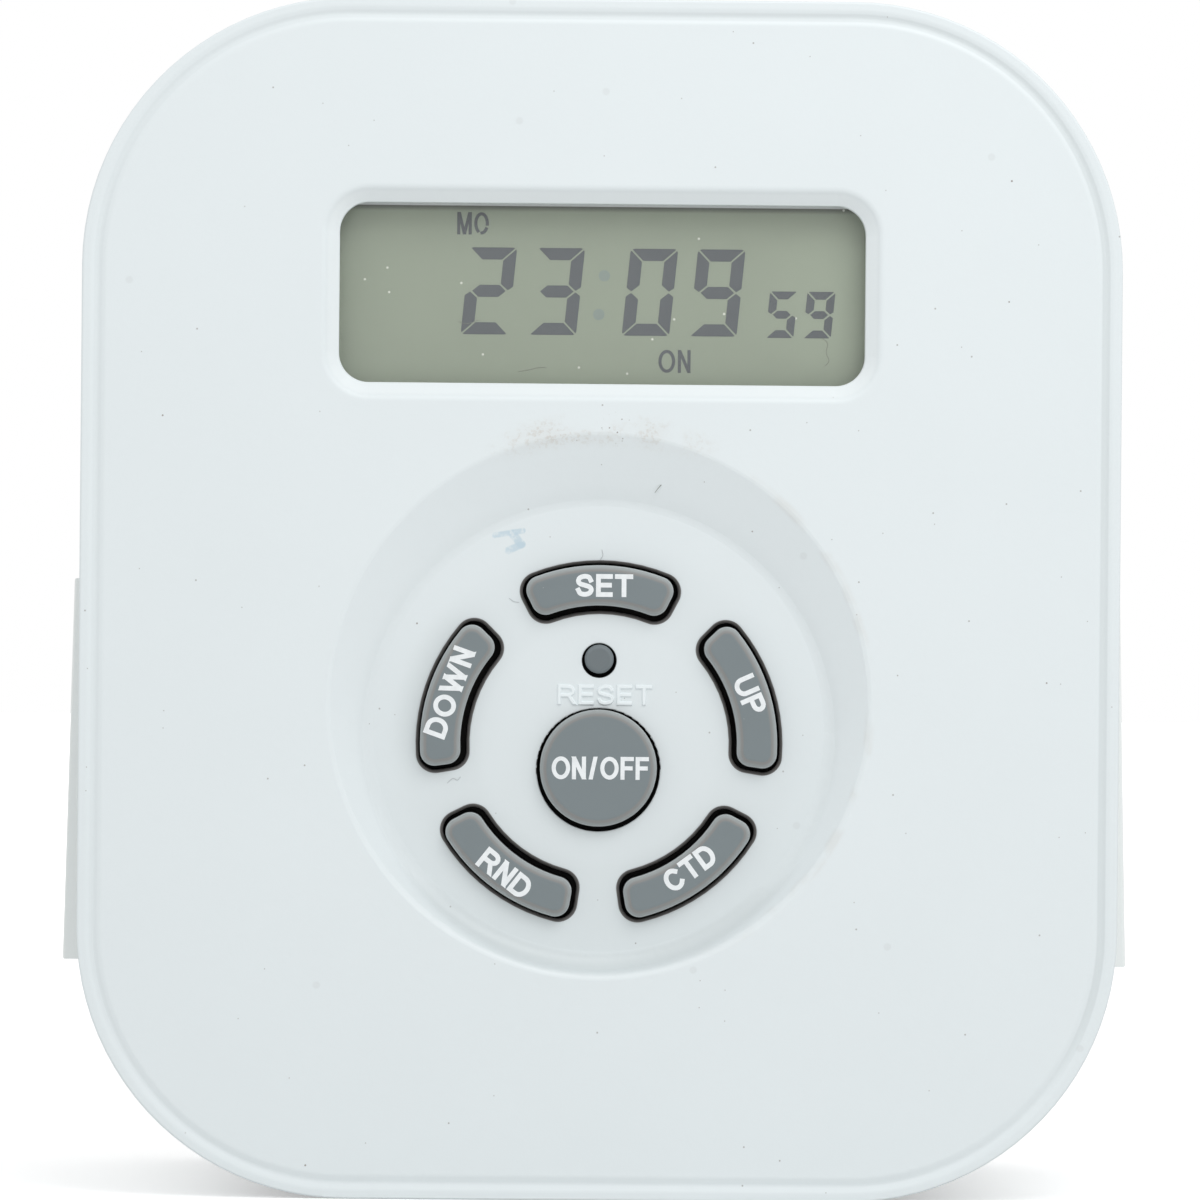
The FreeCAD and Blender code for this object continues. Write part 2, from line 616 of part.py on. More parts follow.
def front_shell():
    """The front of the case, with the window, the dish, the key openings, bosses and board posts."""
    shell = body_slab(0, FACE_Y, PARTING_Y)
    shell = shell.makeChamfer(PARTING_CHAMFER, edges_at(shell, PARTING_Y))
    shell = shell.cut(groove())
    shell = shell.makeFillet(GROOVE_EDGE_ROUND, [e for e in edges_at(shell, FACE_Y) if not on_outline(e)])
    shell = shell.makeFillet(FRONT_EDGE_ROUND, [e for e in edges_at(shell, FACE_Y) if on_outline(e)])
    shell = shell.cut(window_bevel())
    half_bevel = WINDOW_WIDTH / 2 + BEVEL_WIDTH + NEAR
    shell = shell.makeFillet(BEVEL_EDGE_ROUND, edges_at(shell, FACE_Y, (half_bevel, WINDOW_Z)))
    shell = shell.cut(body_slab(WALL, FACE_INSIDE_Y, PARTING_Y))
    rabbet_y = PARTING_Y - TONGUE_LENGTH - TONGUE_CLEARANCE
    shell = shell.cut(body_slab(TONGUE_INSET - TONGUE_CLEARANCE, rabbet_y, PARTING_Y))
    added = [rod(DISH_FLOOR_RADIUS + DISH_BACKING_MARGIN, FACE_INSIDE_Y, FLOOR_INSIDE_Y, 0, DISH_FLOOR_Z)]
    added += [rod(CASE_BOSS_RADIUS, FACE_INSIDE_Y, BOSS_END_Y, x, z) for x, z in CASE_SCREWS]
    added += [rod(BOARD_POST_RADIUS, FACE_INSIDE_Y, BOARD_FRONT_Y, x, z) for x, z in CONTROL_POSTS]
    rib = rod(MAT_RIB_RADIUS, FLOOR_INSIDE_Y, MAT_FRONT_Y, 0, RING_Z)
    added.append(rib.cut(rod(MAT_RIB_RADIUS - MAT_RIB_THICKNESS, FLOOR_INSIDE_Y, MAT_FRONT_Y, 0, RING_Z)))
    shell = shell.multiFuse(added)
    shell = shell.cut(dish())
    shell = shell.makeFillet(DISH_RIM_ROUND, edges_at(shell, FACE_Y, (DISH_RADIUS + NEAR, DISH_Z)))
    cuts = [panel(WINDOW_WIDTH, WINDOW_HEIGHT, WINDOW_CORNER, FACE_Y, FACE_INSIDE_Y, WINDOW_Z)]
    cuts.append(panel(*pane_size(PANE_CLEARANCE), PANE_FRONT_Y, FACE_INSIDE_Y, WINDOW_Z))
    pilot_y = BOSS_END_Y - CASE_SCREW_BITE
    cuts += [rod(CASE_SCREW_SHANK_RADIUS, pilot_y, BOSS_END_Y, x, z) for x, z in CASE_SCREWS]
    pilot_y = BOARD_FRONT_Y - BOARD_SCREW_BITE
    cuts += [rod(BOARD_SCREW_SHANK_RADIUS, pilot_y, BOARD_FRONT_Y, x, z) for x, z in CONTROL_POSTS]
    shell = shell.cut(cuts)
    shell = shell.makeFillet(LIP_EDGE_ROUND, edges_at(shell, FACE_Y + BEVEL_DEPTH))
    return with_key_openings(shell)


def outlet_pad(side):
    """The raised block in the side of the case that carries an outlet. Its face leans out downwards."""
    low, high = OUTLET_PAD_Z
    half = BODY_WIDTH / 2
    inside = side * OUTLET_INSIDE_X
    corners = [
        (inside, high),
        (side * (half + OUTLET_PAD_RISE_TOP), high),
        (side * (half + OUTLET_PAD_RISE_LOW), low),
        (inside, low),
    ]
    spots = [point(x, OUTLET_PAD_Y[0], z) for x, z in corners]
    pad = Part.Face(Part.makePolygon([*spots, spots[0]])).extrude(point(0, OUTLET_PAD_DEPTH, 0))
    outer = [e for e in pad.Edges if min(abs(e.BoundBox.XMin), abs(e.BoundBox.XMax)) > half]
    return pad.makeFillet(OUTLET_PAD_CORNER, outer)


def slot_places(side):
    """(y of the line slot, y of the neutral slot) of an outlet, whose ground hole is at the bottom."""
    return OUTLET_Y + side * HALF_PITCH, OUTLET_Y - side * HALF_PITCH


def blade_slot(side, y, width, x0, x1):
    half = (width + SLOT_MARGIN) / 2
    thick = SLOT_THICKNESS / 2
    z = (OUTLET_BLADE_Z - half, OUTLET_BLADE_Z + half)
    return block((side * x0, side * x1), (y - thick, y + thick), z)


def outlet_slots(side, x0, x1):
    """The two blade slots of an outlet, cut from x0 to x1."""
    line_y, neutral_y = slot_places(side)
    return [
        blade_slot(side, line_y, LINE_BLADE_WIDTH, x0, x1),
        blade_slot(side, neutral_y, NEUTRAL_BLADE_WIDTH, x0, x1),
    ]


def outlet_bar(side, radius, x0, x1):
    """A round bar on the ground axis of an outlet, from x0 to x1."""
    return cross_rod(radius, side * x0, side * x1, OUTLET_Y, OUTLET_GROUND_Z)


def plug_hole(x, width):
    thick = BLADE_THICKNESS / 2 + BLADE_CLEARANCE
    half = width / 2 + BLADE_CLEARANCE
    return block((x - thick, x + thick), (BACK_INSIDE_Y, 0), (PLUG_Z - half, PLUG_Z + half))


def rear_shell():
    """The back of the case, with the outlet pads, screw columns, board posts and the plug's holes."""
    shell = body_slab(0, PARTING_Y, 0)
    shell = shell.makeFillet(BACK_EDGE_ROUND, edges_at(shell, 0))
    shell = shell.makeChamfer(PARTING_CHAMFER, edges_at(shell, PARTING_Y))
    shell = shell.multiFuse([outlet_pad(side) for side in SIDES.values()])
    cavity = body_slab(WALL, PARTING_Y, BACK_INSIDE_Y)
    for side in SIDES.values():
        cavity = cavity.cut(block((side * OUTLET_INSIDE_X, side * BODY_WIDTH), OUTLET_PAD_Y, OUTLET_PAD_Z))
    shell = shell.cut(cavity)
    tongue_y = PARTING_Y - TONGUE_LENGTH
    tongue = body_slab(TONGUE_INSET, tongue_y, PARTING_Y + WALL)
    added = [tongue.cut(body_slab(TONGUE_INSET + TONGUE_THICKNESS, tongue_y, PARTING_Y + WALL))]
    added += [rod(CASE_COLUMN_RADIUS, BOSS_END_Y, BACK_INSIDE_Y, x, z) for x, z in CASE_SCREWS]
    added += [rod(BOARD_POST_RADIUS, POWER_BACK_Y, BACK_INSIDE_Y, x, z) for x, z in POWER_POSTS]
    added += insert_ribs()
    shell = shell.multiFuse(added)
    cuts = [panel(LABEL_WIDTH, LABEL_HEIGHT, LABEL_CORNER, -LABEL_DEPTH, 0, LABEL_Z)]
    for x, z in CASE_SCREWS:
        cuts.append(rod(CASE_SCREW_BORE, -CASE_SCREW_BORE_DEPTH, 0, x, z))
        cuts.append(rod(CASE_SCREW_HOLE_RADIUS, BOSS_END_Y, -CASE_SCREW_BORE_DEPTH, x, z))
    pilot_y = POWER_BACK_Y + BOARD_SCREW_BITE
    cuts += [rod(BOARD_SCREW_SHANK_RADIUS, POWER_BACK_Y, pilot_y, x, z) for x, z in POWER_POSTS]
    cuts += [plug_hole(-HALF_PITCH, NEUTRAL_BLADE_WIDTH), plug_hole(HALF_PITCH, LINE_BLADE_WIDTH)]
    cuts.append(rod(GROUND_NECK_RADIUS + BLADE_CLEARANCE, BACK_INSIDE_Y, 0, 0, GROUND_Z))
    for side in SIDES.values():
        cuts += outlet_slots(side, OUTLET_INSIDE_X, BODY_WIDTH)
        cuts.append(outlet_bar(side, GROUND_HOLE_RADIUS, OUTLET_INSIDE_X, BODY_WIDTH))
    return shell.cut(cuts)


def insert_ribs():
    """Ribs inside the back of the case that the socket inserts and the blade retainer sit on."""
    ribs = []
    low, high = INSERT_Z
    thick = INSERT_RIB_THICKNESS
    for side in SIDES.values():
        x = (side * (INSERT_INNER_X + thick), side * OUTLET_INSIDE_X)
        for z in (high - 2 * thick, low + 2 * thick):
            ribs.append(block(x, (INSERT_Y[1], BACK_INSIDE_Y), (z - thick / 2, z + thick / 2)))
        x = (side * (OUTLET_INSIDE_X - 2 * thick), side * (BODY_WIDTH / 2 - WALL / 2))
        ribs.append(block(x, INSERT_Y, (high, high + thick)))
        ribs.append(block(x, INSERT_Y, (low - thick, low)))
        rest_x = side * (RETAINER_WIDTH / 2 - thick)
        ribs.append(rod(thick, SHOULDER_Y, BACK_INSIDE_Y, rest_x, PLUG_Z))
    return ribs


def blade(x, width):
    """A plug blade with a bevelled tip, shoulders inside the case and a tail on the power board."""
    thick = (x - BLADE_THICKNESS / 2, x + BLADE_THICKNESS / 2)

    def across(size):
        return PLUG_Z - size / 2, PLUG_Z + size / 2

    prong = block(thick, (BACK_INSIDE_Y, BLADE_LENGTH), across(width))
    corners = [e for e in edges_at(prong, BLADE_LENGTH) if e.BoundBox.XLength > NEAR]
    prong = prong.makeChamfer(BLADE_TIP, corners)
    tip = [e for e in edges_at(prong, BLADE_LENGTH) if e.BoundBox.ZLength > NEAR]
    prong = prong.makeChamfer(BLADE_TIP_BEVEL, tip)
    shoulder = block(thick, (SHOULDER_Y, BACK_INSIDE_Y), across(width + 2 * SHOULDER_WIDTH))
    tail = block(thick, (POWER_BACK_Y, SHOULDER_Y), across(TAIL_WIDTH))
    return joined([prong, shoulder, tail])


def ground_pin():
    """The round pin: a domed tip, a thick neck in the wall, a flange behind it and a rivet in the bus."""
    pin = rod(GROUND_PIN_RADIUS, 0, GROUND_PIN_LENGTH, 0, GROUND_Z)
    pin = pin.makeFillet(GROUND_PIN_TIP_ROUND, edges_at(pin, GROUND_PIN_LENGTH))
    neck = rod(GROUND_NECK_RADIUS, BACK_INSIDE_Y, 0, 0, GROUND_Z)
    flange = rod(GROUND_FLANGE_RADIUS, GROUND_BUS_Y, BACK_INSIDE_Y, 0, GROUND_Z)
    rivet = rod(GROUND_RIVET_RADIUS, GROUND_BUS_Y - GROUND_RIVET_LENGTH, GROUND_BUS_Y, 0, GROUND_Z)
    return joined([pin, neck, flange, rivet])


def blade_retainer():
    low, high = PLUG_Z - RETAINER_HEIGHT / 2, PLUG_Z + RETAINER_HEIGHT / 2
    body = block((-RETAINER_WIDTH / 2, RETAINER_WIDTH / 2), (POWER_BACK_Y, SHOULDER_Y), (low, high))
    half = TAIL_WIDTH / 2
    for x in (-HALF_PITCH, HALF_PITCH):
        thick = (x - BLADE_THICKNESS / 2, x + BLADE_THICKNESS / 2)
        body = body.cut(block(thick, (POWER_BACK_Y, SHOULDER_Y), (PLUG_Z - half, PLUG_Z + half)))
    return body


def socket_insert(side):
    """The insulating block behind an outlet, with a pocket for each contact."""
    body = block((side * INSERT_INNER_X, side * OUTLET_INSIDE_X), INSERT_Y, INSERT_Z)
    pocket_y = LEAF_GAP / 2 + LEAF_THICKNESS + CONTACT_CLEARANCE
    pocket_z = CONTACT_WIDTH / 2 + CONTACT_CLEARANCE
    x = (side * INSERT_INNER_X, side * (CONTACT_REACH_X + CONTACT_CLEARANCE))
    cuts = outlet_slots(side, CONTACT_REACH_X, OUTLET_INSIDE_X)
    z = (OUTLET_BLADE_Z - pocket_z, OUTLET_BLADE_Z + pocket_z)
    for y in slot_places(side):
        cuts.append(block(x, (y - pocket_y, y + pocket_y), z))
    tube_end = GROUND_TUBE_OUTER_X + CONTACT_CLEARANCE
    cuts.append(outlet_bar(side, GROUND_TUBE_RADIUS + CONTACT_CLEARANCE, INSERT_INNER_X, tube_end))
    cuts.append(outlet_bar(side, GROUND_HOLE_RADIUS + INSERT_HOLE_MARGIN, tube_end, OUTLET_INSIDE_X))
    return body.cut(cuts)


def blade_contact(side, y):
    """A folded brass contact: two leaves joined by a web at the inner end."""
    half = CONTACT_WIDTH / 2
    reach = (side * INSERT_INNER_X, side * CONTACT_REACH_X)
    width = LEAF_GAP / 2 + LEAF_THICKNESS
    z = (OUTLET_BLADE_Z - half, OUTLET_BLADE_Z + half)
    outside = block(reach, (y - width, y + width), z)
    gap = (side * (INSERT_INNER_X + LEAF_THICKNESS), side * CONTACT_REACH_X)
    return outside.cut(block(gap, (y - LEAF_GAP / 2, y + LEAF_GAP / 2), z))


def ground_contact(side):
    tube = outlet_bar(side, GROUND_TUBE_RADIUS, GROUND_TUBE_INNER_X, GROUND_TUBE_OUTER_X)
    tube = tube.cut(outlet_bar(side, GROUND_TUBE_BORE, GROUND_TUBE_INNER_X, GROUND_TUBE_OUTER_X))
    ends = (side * GROUND_TUBE_INNER_X, side * GROUND_TUBE_OUTER_X)
    split = LEAF_THICKNESS / 2
    low = OUTLET_GROUND_Z - 2 * GROUND_TUBE_RADIUS
    return tube.cut(block(ends, (OUTLET_Y - split, OUTLET_Y + split), (low, OUTLET_GROUND_Z)))


def power_bus(level, right_y, left_y):
    """A brass strip that crosses between a right and a left contact and rises to the power board.

    level is +1 for the strip over the middle of the contacts and -1 for the one under it. The strip
    rises on the side where its contact lies towards the back.
    """
    z = OUTLET_BLADE_Z + level * BUS_SPREAD
    low, high = z - STRIP_THICKNESS / 2, z + STRIP_THICKNESS / 2
    inner_x = INSERT_INNER_X - STRIP_THICKNESS
    half = BUS_WIDTH / 2
    corners = [
        (-inner_x, left_y - half),
        (-inner_x, left_y + half),
        (inner_x, right_y + half),
        (inner_x, right_y - half),
    ]
    spots = [point(x, y, low) for x, y in corners]
    pieces = [Part.Face(Part.makePolygon([*spots, spots[0]])).extrude(point(0, 0, STRIP_THICKNESS))]
    for side, y in ((1, right_y), (-1, left_y)):
        ends = (side * inner_x, side * INSERT_INNER_X)
        pieces.append(block(ends, (y - half, y + half), (z - level * BUS_TURN, high if level > 0 else low)))
    riser_side = 1 if right_y > left_y else -1
    riser_end = inner_x - RISER_GAP
    riser_x = (riser_side * (riser_end - RISER_WIDTH), riser_side * riser_end)
    back = POWER_BACK_Y + STRIP_THICKNESS
    pieces.append(block(riser_x, (max(right_y, left_y), back), (low, high)))
    pieces.append(block(riser_x, (POWER_BACK_Y, back), (low, RISER_TOP_Z)))
    return joined(pieces)


def ground_bus():
    """The brass strip from the ground pin down to both ground contacts."""
    y = (GROUND_BUS_Y - STRIP_THICKNESS, GROUND_BUS_Y)
    half = GROUND_BUS_HALF_WIDTH
    z = (OUTLET_GROUND_Z - GROUND_BUS_BAND / 2, OUTLET_GROUND_Z + GROUND_BUS_BAND / 2)
    reach = GROUND_TUBE_INNER_X
    pieces = [
        block((-half, half), y, (z[0], GROUND_Z + half)),
        block((-reach, reach), y, z),
    ]
    arm_y = (OUTLET_Y - GROUND_BUS_BAND / 2, GROUND_BUS_Y)
    for side in SIDES.values():
        pieces.append(block((side * (reach - STRIP_THICKNESS), side * reach), arm_y, z))
    return joined(pieces).cut(rod(GROUND_RIVET_RADIUS, *y, 0, GROUND_Z))


def board(y0, y1, notch_radius, screw_places):
    body = panel(BOARD_WIDTH, BOARD_HEIGHT, BOARD_CORNER, y0, y1)
    cuts = [rod(notch_radius + BOARD_NOTCH_CLEARANCE, y0, y1, x, z) for x, z in CASE_SCREWS]
    cuts += [rod(BOARD_SCREW_SHANK_RADIUS, y0, y1, x, z) for x, z in screw_places]
    return body.cut(cuts)


def control_board():
    return board(BOARD_FRONT_Y, BOARD_BACK_Y, CASE_BOSS_RADIUS, CONTROL_POSTS)


def power_board():
    body = board(POWER_FRONT_Y, POWER_BACK_Y, CASE_COLUMN_RADIUS, POWER_POSTS)
    low = (-BODY_HEIGHT, POWER_BOARD_LOW_Z)
    return body.cut(block((-BODY_WIDTH, BODY_WIDTH), (POWER_FRONT_Y, POWER_BACK_Y), low))


def cross_slot(radius, y0, y1, x, z):
    half = CROSS_SLOT_WIDTH / 2
    reach = radius - CROSS_SLOT_EDGE
    return [
        block((x - reach, x + reach), (y0, y1), (z - half, z + half)),
        block((x - half, x + half), (y0, y1), (z - reach, z + reach)),
    ]


def screw(x, z, seat_y, head_side, head_radius, head_height, shank_radius, length):
    """A pan-head screw. head_side is +1 where the head lies towards +Y from its seat."""
    top = seat_y + head_side * head_height
    head = rod(head_radius, seat_y, top, x, z)
    head = head.makeFillet(SCREW_HEAD_ROUND, edges_at(head, top))
    head = head.cut(cross_slot(head_radius, top - head_side * CROSS_SLOT_DEPTH, top, x, z))
    return joined([head, rod(shank_radius, seat_y, seat_y - head_side * length, x, z)])


def case_screws():
    seat = -CASE_SCREW_BORE_DEPTH
    length = seat - BOSS_END_Y + CASE_SCREW_BITE
    head = (CASE_SCREW_HEAD_RADIUS, CASE_SCREW_HEAD_HEIGHT, CASE_SCREW_SHANK_RADIUS)
    return Part.makeCompound([screw(x, z, seat, 1, *head, length) for x, z in CASE_SCREWS])


def board_screws():
    head = (BOARD_SCREW_HEAD_RADIUS, BOARD_SCREW_HEAD_HEIGHT, BOARD_SCREW_SHANK_RADIUS)
    length = BOARD_THICKNESS + BOARD_SCREW_BITE
    screws = [screw(x, z, BOARD_BACK_Y, 1, *head, length) for x, z in CONTROL_POSTS]
    screws += [screw(x, z, POWER_FRONT_Y, -1, *head, length) for x, z in POWER_POSTS]
    return Part.makeCompound(screws)


def display_window():
    return panel(*pane_size(), PANE_FRONT_Y, PANE_BACK_Y, WINDOW_Z)


def lcd_panel():
    """Two sheets of glass. The rear one is taller and carries the contacts on its ledges."""
    half = LCD_WIDTH / 2
    middle_y = GLASS_FRONT_Y + GLASS_THICKNESS
    tall = LCD_HEIGHT / 2
    short = tall - LCD_LEDGE
    front = block((-half, half), (GLASS_FRONT_Y, middle_y), (WINDOW_Z - short, WINDOW_Z + short))
    rear = block((-half, half), (middle_y, GLASS_BACK_Y), (WINDOW_Z - tall, WINDOW_Z + tall))
    return joined([front, rear])


def lcd_polariser():
    half = LCD_WIDTH / 2 - FILM_MARGIN
    tall = LCD_HEIGHT / 2 - LCD_LEDGE - FILM_MARGIN
    return block((-half, half), (LCD_FRONT_Y, GLASS_FRONT_Y), (WINDOW_Z - tall, WINDOW_Z + tall))


def lcd_frame():
    """The frame that holds the glass and the rubber connectors on the control board."""
    half = LCD_WIDTH / 2 + FRAME_CLEARANCE
    tall = LCD_HEIGHT / 2 + FRAME_CLEARANCE
    y = (GLASS_FRONT_Y, BOARD_FRONT_Y)
    wide = half + FRAME_WALL
    high = tall + FRAME_WALL
    outer = block((-wide, wide), y, (WINDOW_Z - high, WINDOW_Z + high))
    return outer.cut(block((-half, half), y, (WINDOW_Z - tall, WINDOW_Z + tall)))


def zebra_strips():
    strips = []
    for side in (-1, 1):
        edge = WINDOW_Z + side * (LCD_HEIGHT / 2 - ZEBRA_INSET)
        z = (edge - side * ZEBRA_WIDTH, edge)
        half = LCD_WIDTH / 2 - ZEBRA_INSET
        strips.append(block((-half, half), (GLASS_BACK_Y, BOARD_FRONT_Y), z))
    return Part.makeCompound(strips)


def controller_chip():
    """A drop of black resin over the controller: the cap of a ball."""
    ball = (CHIP_RADIUS ** 2 + CHIP_HEIGHT ** 2) / (2 * CHIP_HEIGHT)
    whole = Part.makeSphere(ball, point(0, BOARD_BACK_Y + CHIP_HEIGHT - ball, CHIP_Z))
    return whole.common(rod(ball, BOARD_BACK_Y, BOARD_BACK_Y + CHIP_HEIGHT, 0, CHIP_Z))


def quartz_crystal():
    y = BOARD_BACK_Y + CRYSTAL_RADIUS
    can = cross_rod(CRYSTAL_RADIUS, CRYSTAL_X, CRYSTAL_X + CRYSTAL_LENGTH, y, CRYSTAL_Z)
    return can.makeFillet(CRYSTAL_ROUND, [e for e in can.Edges if e.BoundBox.XLength < NEAR])


def chip_parts():
    w, d, h = CHIP_PART_SIZE
    parts = [
        block((x - w / 2, x + w / 2), (BOARD_BACK_Y, BOARD_BACK_Y + d), (z - h / 2, z + h / 2))
        for x, z in CHIP_PART_PLACES
    ]
    return Part.makeCompound(parts)


def backup_battery():
    y0 = BOARD_BACK_Y + TAB_THICKNESS
    cell = rod(BATTERY_RADIUS, y0, y0 + BATTERY_HEIGHT, 0, BATTERY_Z)
    rims = edges_at(cell, y0) + edges_at(cell, y0 + BATTERY_HEIGHT)
    return cell.makeFillet(BATTERY_ROUND, rims)


def battery_tabs():
    half = TAB_WIDTH / 2
    z = (BATTERY_Z - half, BATTERY_Z + half)
    reach = BATTERY_RADIUS + TAB_OVERHANG
    cell_y = BOARD_BACK_Y + TAB_THICKNESS + BATTERY_HEIGHT
    under = block((-half, reach), (BOARD_BACK_Y, BOARD_BACK_Y + TAB_THICKNESS), z)
    over = block((-reach, half), (cell_y, cell_y + TAB_THICKNESS), z)
    leg = block((-reach, -reach + TAB_THICKNESS), (BOARD_BACK_Y, cell_y), z)
    return Part.makeCompound([under, joined([over, leg])])


def relay_base():
    """The relay's foot, with its terminals standing on the power board."""
    return block(RELAY_X, (POWER_FRONT_Y - RELAY_BASE, POWER_FRONT_Y), RELAY_Z)


def relay_cover():
    top = POWER_FRONT_Y - RELAY_HEIGHT
    foot = POWER_FRONT_Y - RELAY_BASE
    inside_x = (RELAY_X[0] + RELAY_WALL, RELAY_X[1] - RELAY_WALL)
    inside_z = (RELAY_Z[0] + RELAY_WALL, RELAY_Z[1] - RELAY_WALL)
    cover = block(RELAY_X, (top, foot), RELAY_Z)
    cover = cover.makeFillet(RELAY_WALL, edges_at(cover, top))
    return cover.cut(block(inside_x, (top + RELAY_WALL, foot), inside_z))


def relay_coil():
    """The winding between its bobbin's cheeks, on the iron core whose end pulls the armature."""
    foot = COIL_FOOT_Y
    top = foot - COIL_LENGTH
    spot = (COIL_X, RELAY_MIDDLE_Z)
    cheek = COIL_RADIUS + COIL_FLANGE
    pieces = [
        rod(COIL_RADIUS, top, foot, *spot),
        rod(cheek, foot - COIL_FLANGE, foot, *spot),
        rod(cheek, top, top + COIL_FLANGE, *spot),
        rod(CORE_RADIUS, CORE_FACE_Y, foot, *spot),
    ]
    return joined(pieces)


def relay_yoke():
    """The bent iron bracket under and beside the coil, whose top edge the armature rocks on."""
    foot = POWER_FRONT_Y - RELAY_BASE
    z = (RELAY_MIDDLE_Z - YOKE_HALF_WIDTH, RELAY_MIDDLE_Z + YOKE_HALF_WIDTH)
    far_x = YOKE_X + YOKE_THICKNESS
    under = block((COIL_X - COIL_RADIUS, far_x), (COIL_FOOT_Y, foot), z)
    upright = block((YOKE_X, far_x), (ARMATURE_Y + ARMATURE_PIVOT_GAP, foot), z)
    return joined([under, upright])


def relay_armature():
    """The rocking iron plate with its contact leg. It turns on the corner over the yoke."""
    near = ARMATURE_Y
    z = (RELAY_MIDDLE_Z - YOKE_HALF_WIDTH, RELAY_MIDDLE_Z + YOKE_HALF_WIDTH)
    leg_x = armature_leg_x()
    face_x = leg_x + STRIP_THICKNESS
    plate = block((COIL_X - COIL_RADIUS, face_x), (near - ARMATURE_THICKNESS, near), z)
    leg = block((leg_x, face_x), (near, near + ARMATURE_LEG), z)
    button_y = near + ARMATURE_LEG - CONTACT_BUTTON
    button = cross_rod(CONTACT_BUTTON, face_x, face_x + STRIP_THICKNESS, button_y, RELAY_MIDDLE_Z)
    return joined([plate, leg, button])


def armature_leg_x():
    """The inner face of the armature's leg, which hangs beside the yoke."""
    return YOKE_X + YOKE_THICKNESS + 2 * ARMATURE_PIVOT_GAP


def relay_fixed_contact():
    foot = POWER_FRONT_Y - RELAY_BASE
    top = ARMATURE_Y + ARMATURE_LEG - 2 * CONTACT_BUTTON
    z = (RELAY_MIDDLE_Z - CONTACT_BUTTON * 2, RELAY_MIDDLE_Z + CONTACT_BUTTON * 2)
    near_x = armature_leg_x() + 2 * STRIP_THICKNESS + CONTACT_GAP
    return block((near_x, near_x + STRIP_THICKNESS), (top, foot), z)


def dropper_capacitor():
    box = block(CAPACITOR_X, (POWER_FRONT_Y - CAPACITOR_HEIGHT, POWER_FRONT_Y), CAPACITOR_Z)
    return box.makeFillet(RELAY_WALL, edges_at(box, POWER_FRONT_Y - CAPACITOR_HEIGHT))


def smoothing_capacitor():
    top = POWER_FRONT_Y - SMOOTHING_HEIGHT
    can = rod(SMOOTHING_RADIUS, top, POWER_FRONT_Y, SMOOTHING_X, SMOOTHING_Z)
    return can.makeFillet(RELAY_WALL, edges_at(can, top))


def lead(x, z):
    return rod(LEAD_RADIUS, POWER_FRONT_Y - LEAD_HEIGHT - RESISTOR_RADIUS, POWER_FRONT_Y, x, z)


def surge_varistor():
    """A disc that stands on two leads."""
    y = POWER_FRONT_Y - LEAD_HEIGHT - VARISTOR_RADIUS
    half = VARISTOR_THICKNESS / 2
    disc = cross_rod(VARISTOR_RADIUS, VARISTOR_X - half, VARISTOR_X + half, y, VARISTOR_Z)
    disc = disc.makeFillet(half / 2, [e for e in disc.Edges if e.BoundBox.XLength < NEAR])
    spread = VARISTOR_RADIUS / 2
    legs = [lead(VARISTOR_X, VARISTOR_Z + side * spread) for side in (-1, 1)]
    return joined([disc, *legs])


def bent_lead(side, end_x, out_x, y, z):
    """A round lead that leaves a part along X and bends down to the power board."""
    turn = out_x - side * LEAD_BEND
    share = math.sin(math.radians(45))
    middle = point(turn + side * LEAD_BEND * share, y + LEAD_BEND * (1 - share), z)
    low = point(out_x, y + LEAD_BEND, z)
    start = point(end_x, y, z)
    path = Part.Wire([
        Part.LineSegment(start, point(turn, y, z)).toShape(),
        Part.Arc(point(turn, y, z), middle, low).toShape(),
        Part.LineSegment(low, point(out_x, POWER_FRONT_Y, z)).toShape(),
    ])
    return path.makePipeShell([Part.Wire(Part.makeCircle(LEAD_RADIUS, start, X_AXIS))], True, False)


def lying_part(x, z, radius, length):
    """A round part that lies over the power board on its two bent leads."""
    y = POWER_FRONT_Y - LEAD_HEIGHT - radius
    pieces = [cross_rod(radius, x - length / 2, x + length / 2, y, z)]
    for side in (-1, 1):
        end = x + side * (length / 2 - LEAD_RADIUS)
        pieces.append(bent_lead(side, end, x + side * (length / 2 + 2 * LEAD_BEND), y, z))
    return joined(pieces)


def fusible_resistor():
    return lying_part(RESISTOR_X, RESISTOR_Z, RESISTOR_RADIUS, RESISTOR_LENGTH)


def rectifier_diodes():
    return Part.makeCompound([lying_part(x, z, DIODE_RADIUS, DIODE_LENGTH) for x, z in DIODE_PLACES])


def link_pin(index):
    half = LINK_PIN / 2
    z = LINK_Z + index * LINK_PITCH
    return block((LINK_X - half, LINK_X + half), (BOARD_BACK_Y, POWER_FRONT_Y), (z - half, z + half))


def board_link_pins():
    return Part.makeCompound([link_pin(index) for index in range(LINK_COUNT)])


def board_link_spacer():
    """The insulating bar moulded round the pins that join the two boards."""
    middle = (BOARD_BACK_Y + POWER_FRONT_Y) / 2
    half = LINK_SPACER_WIDTH / 2
    z = (LINK_Z - half, LINK_Z + (LINK_COUNT - 1) * LINK_PITCH + half)
    y = (middle - LINK_SPACER_DEPTH / 2, middle + LINK_SPACER_DEPTH / 2)
    bar = block((LINK_X - half, LINK_X + half), y, z)
    return bar.cut([link_pin(index) for index in range(LINK_COUNT)])


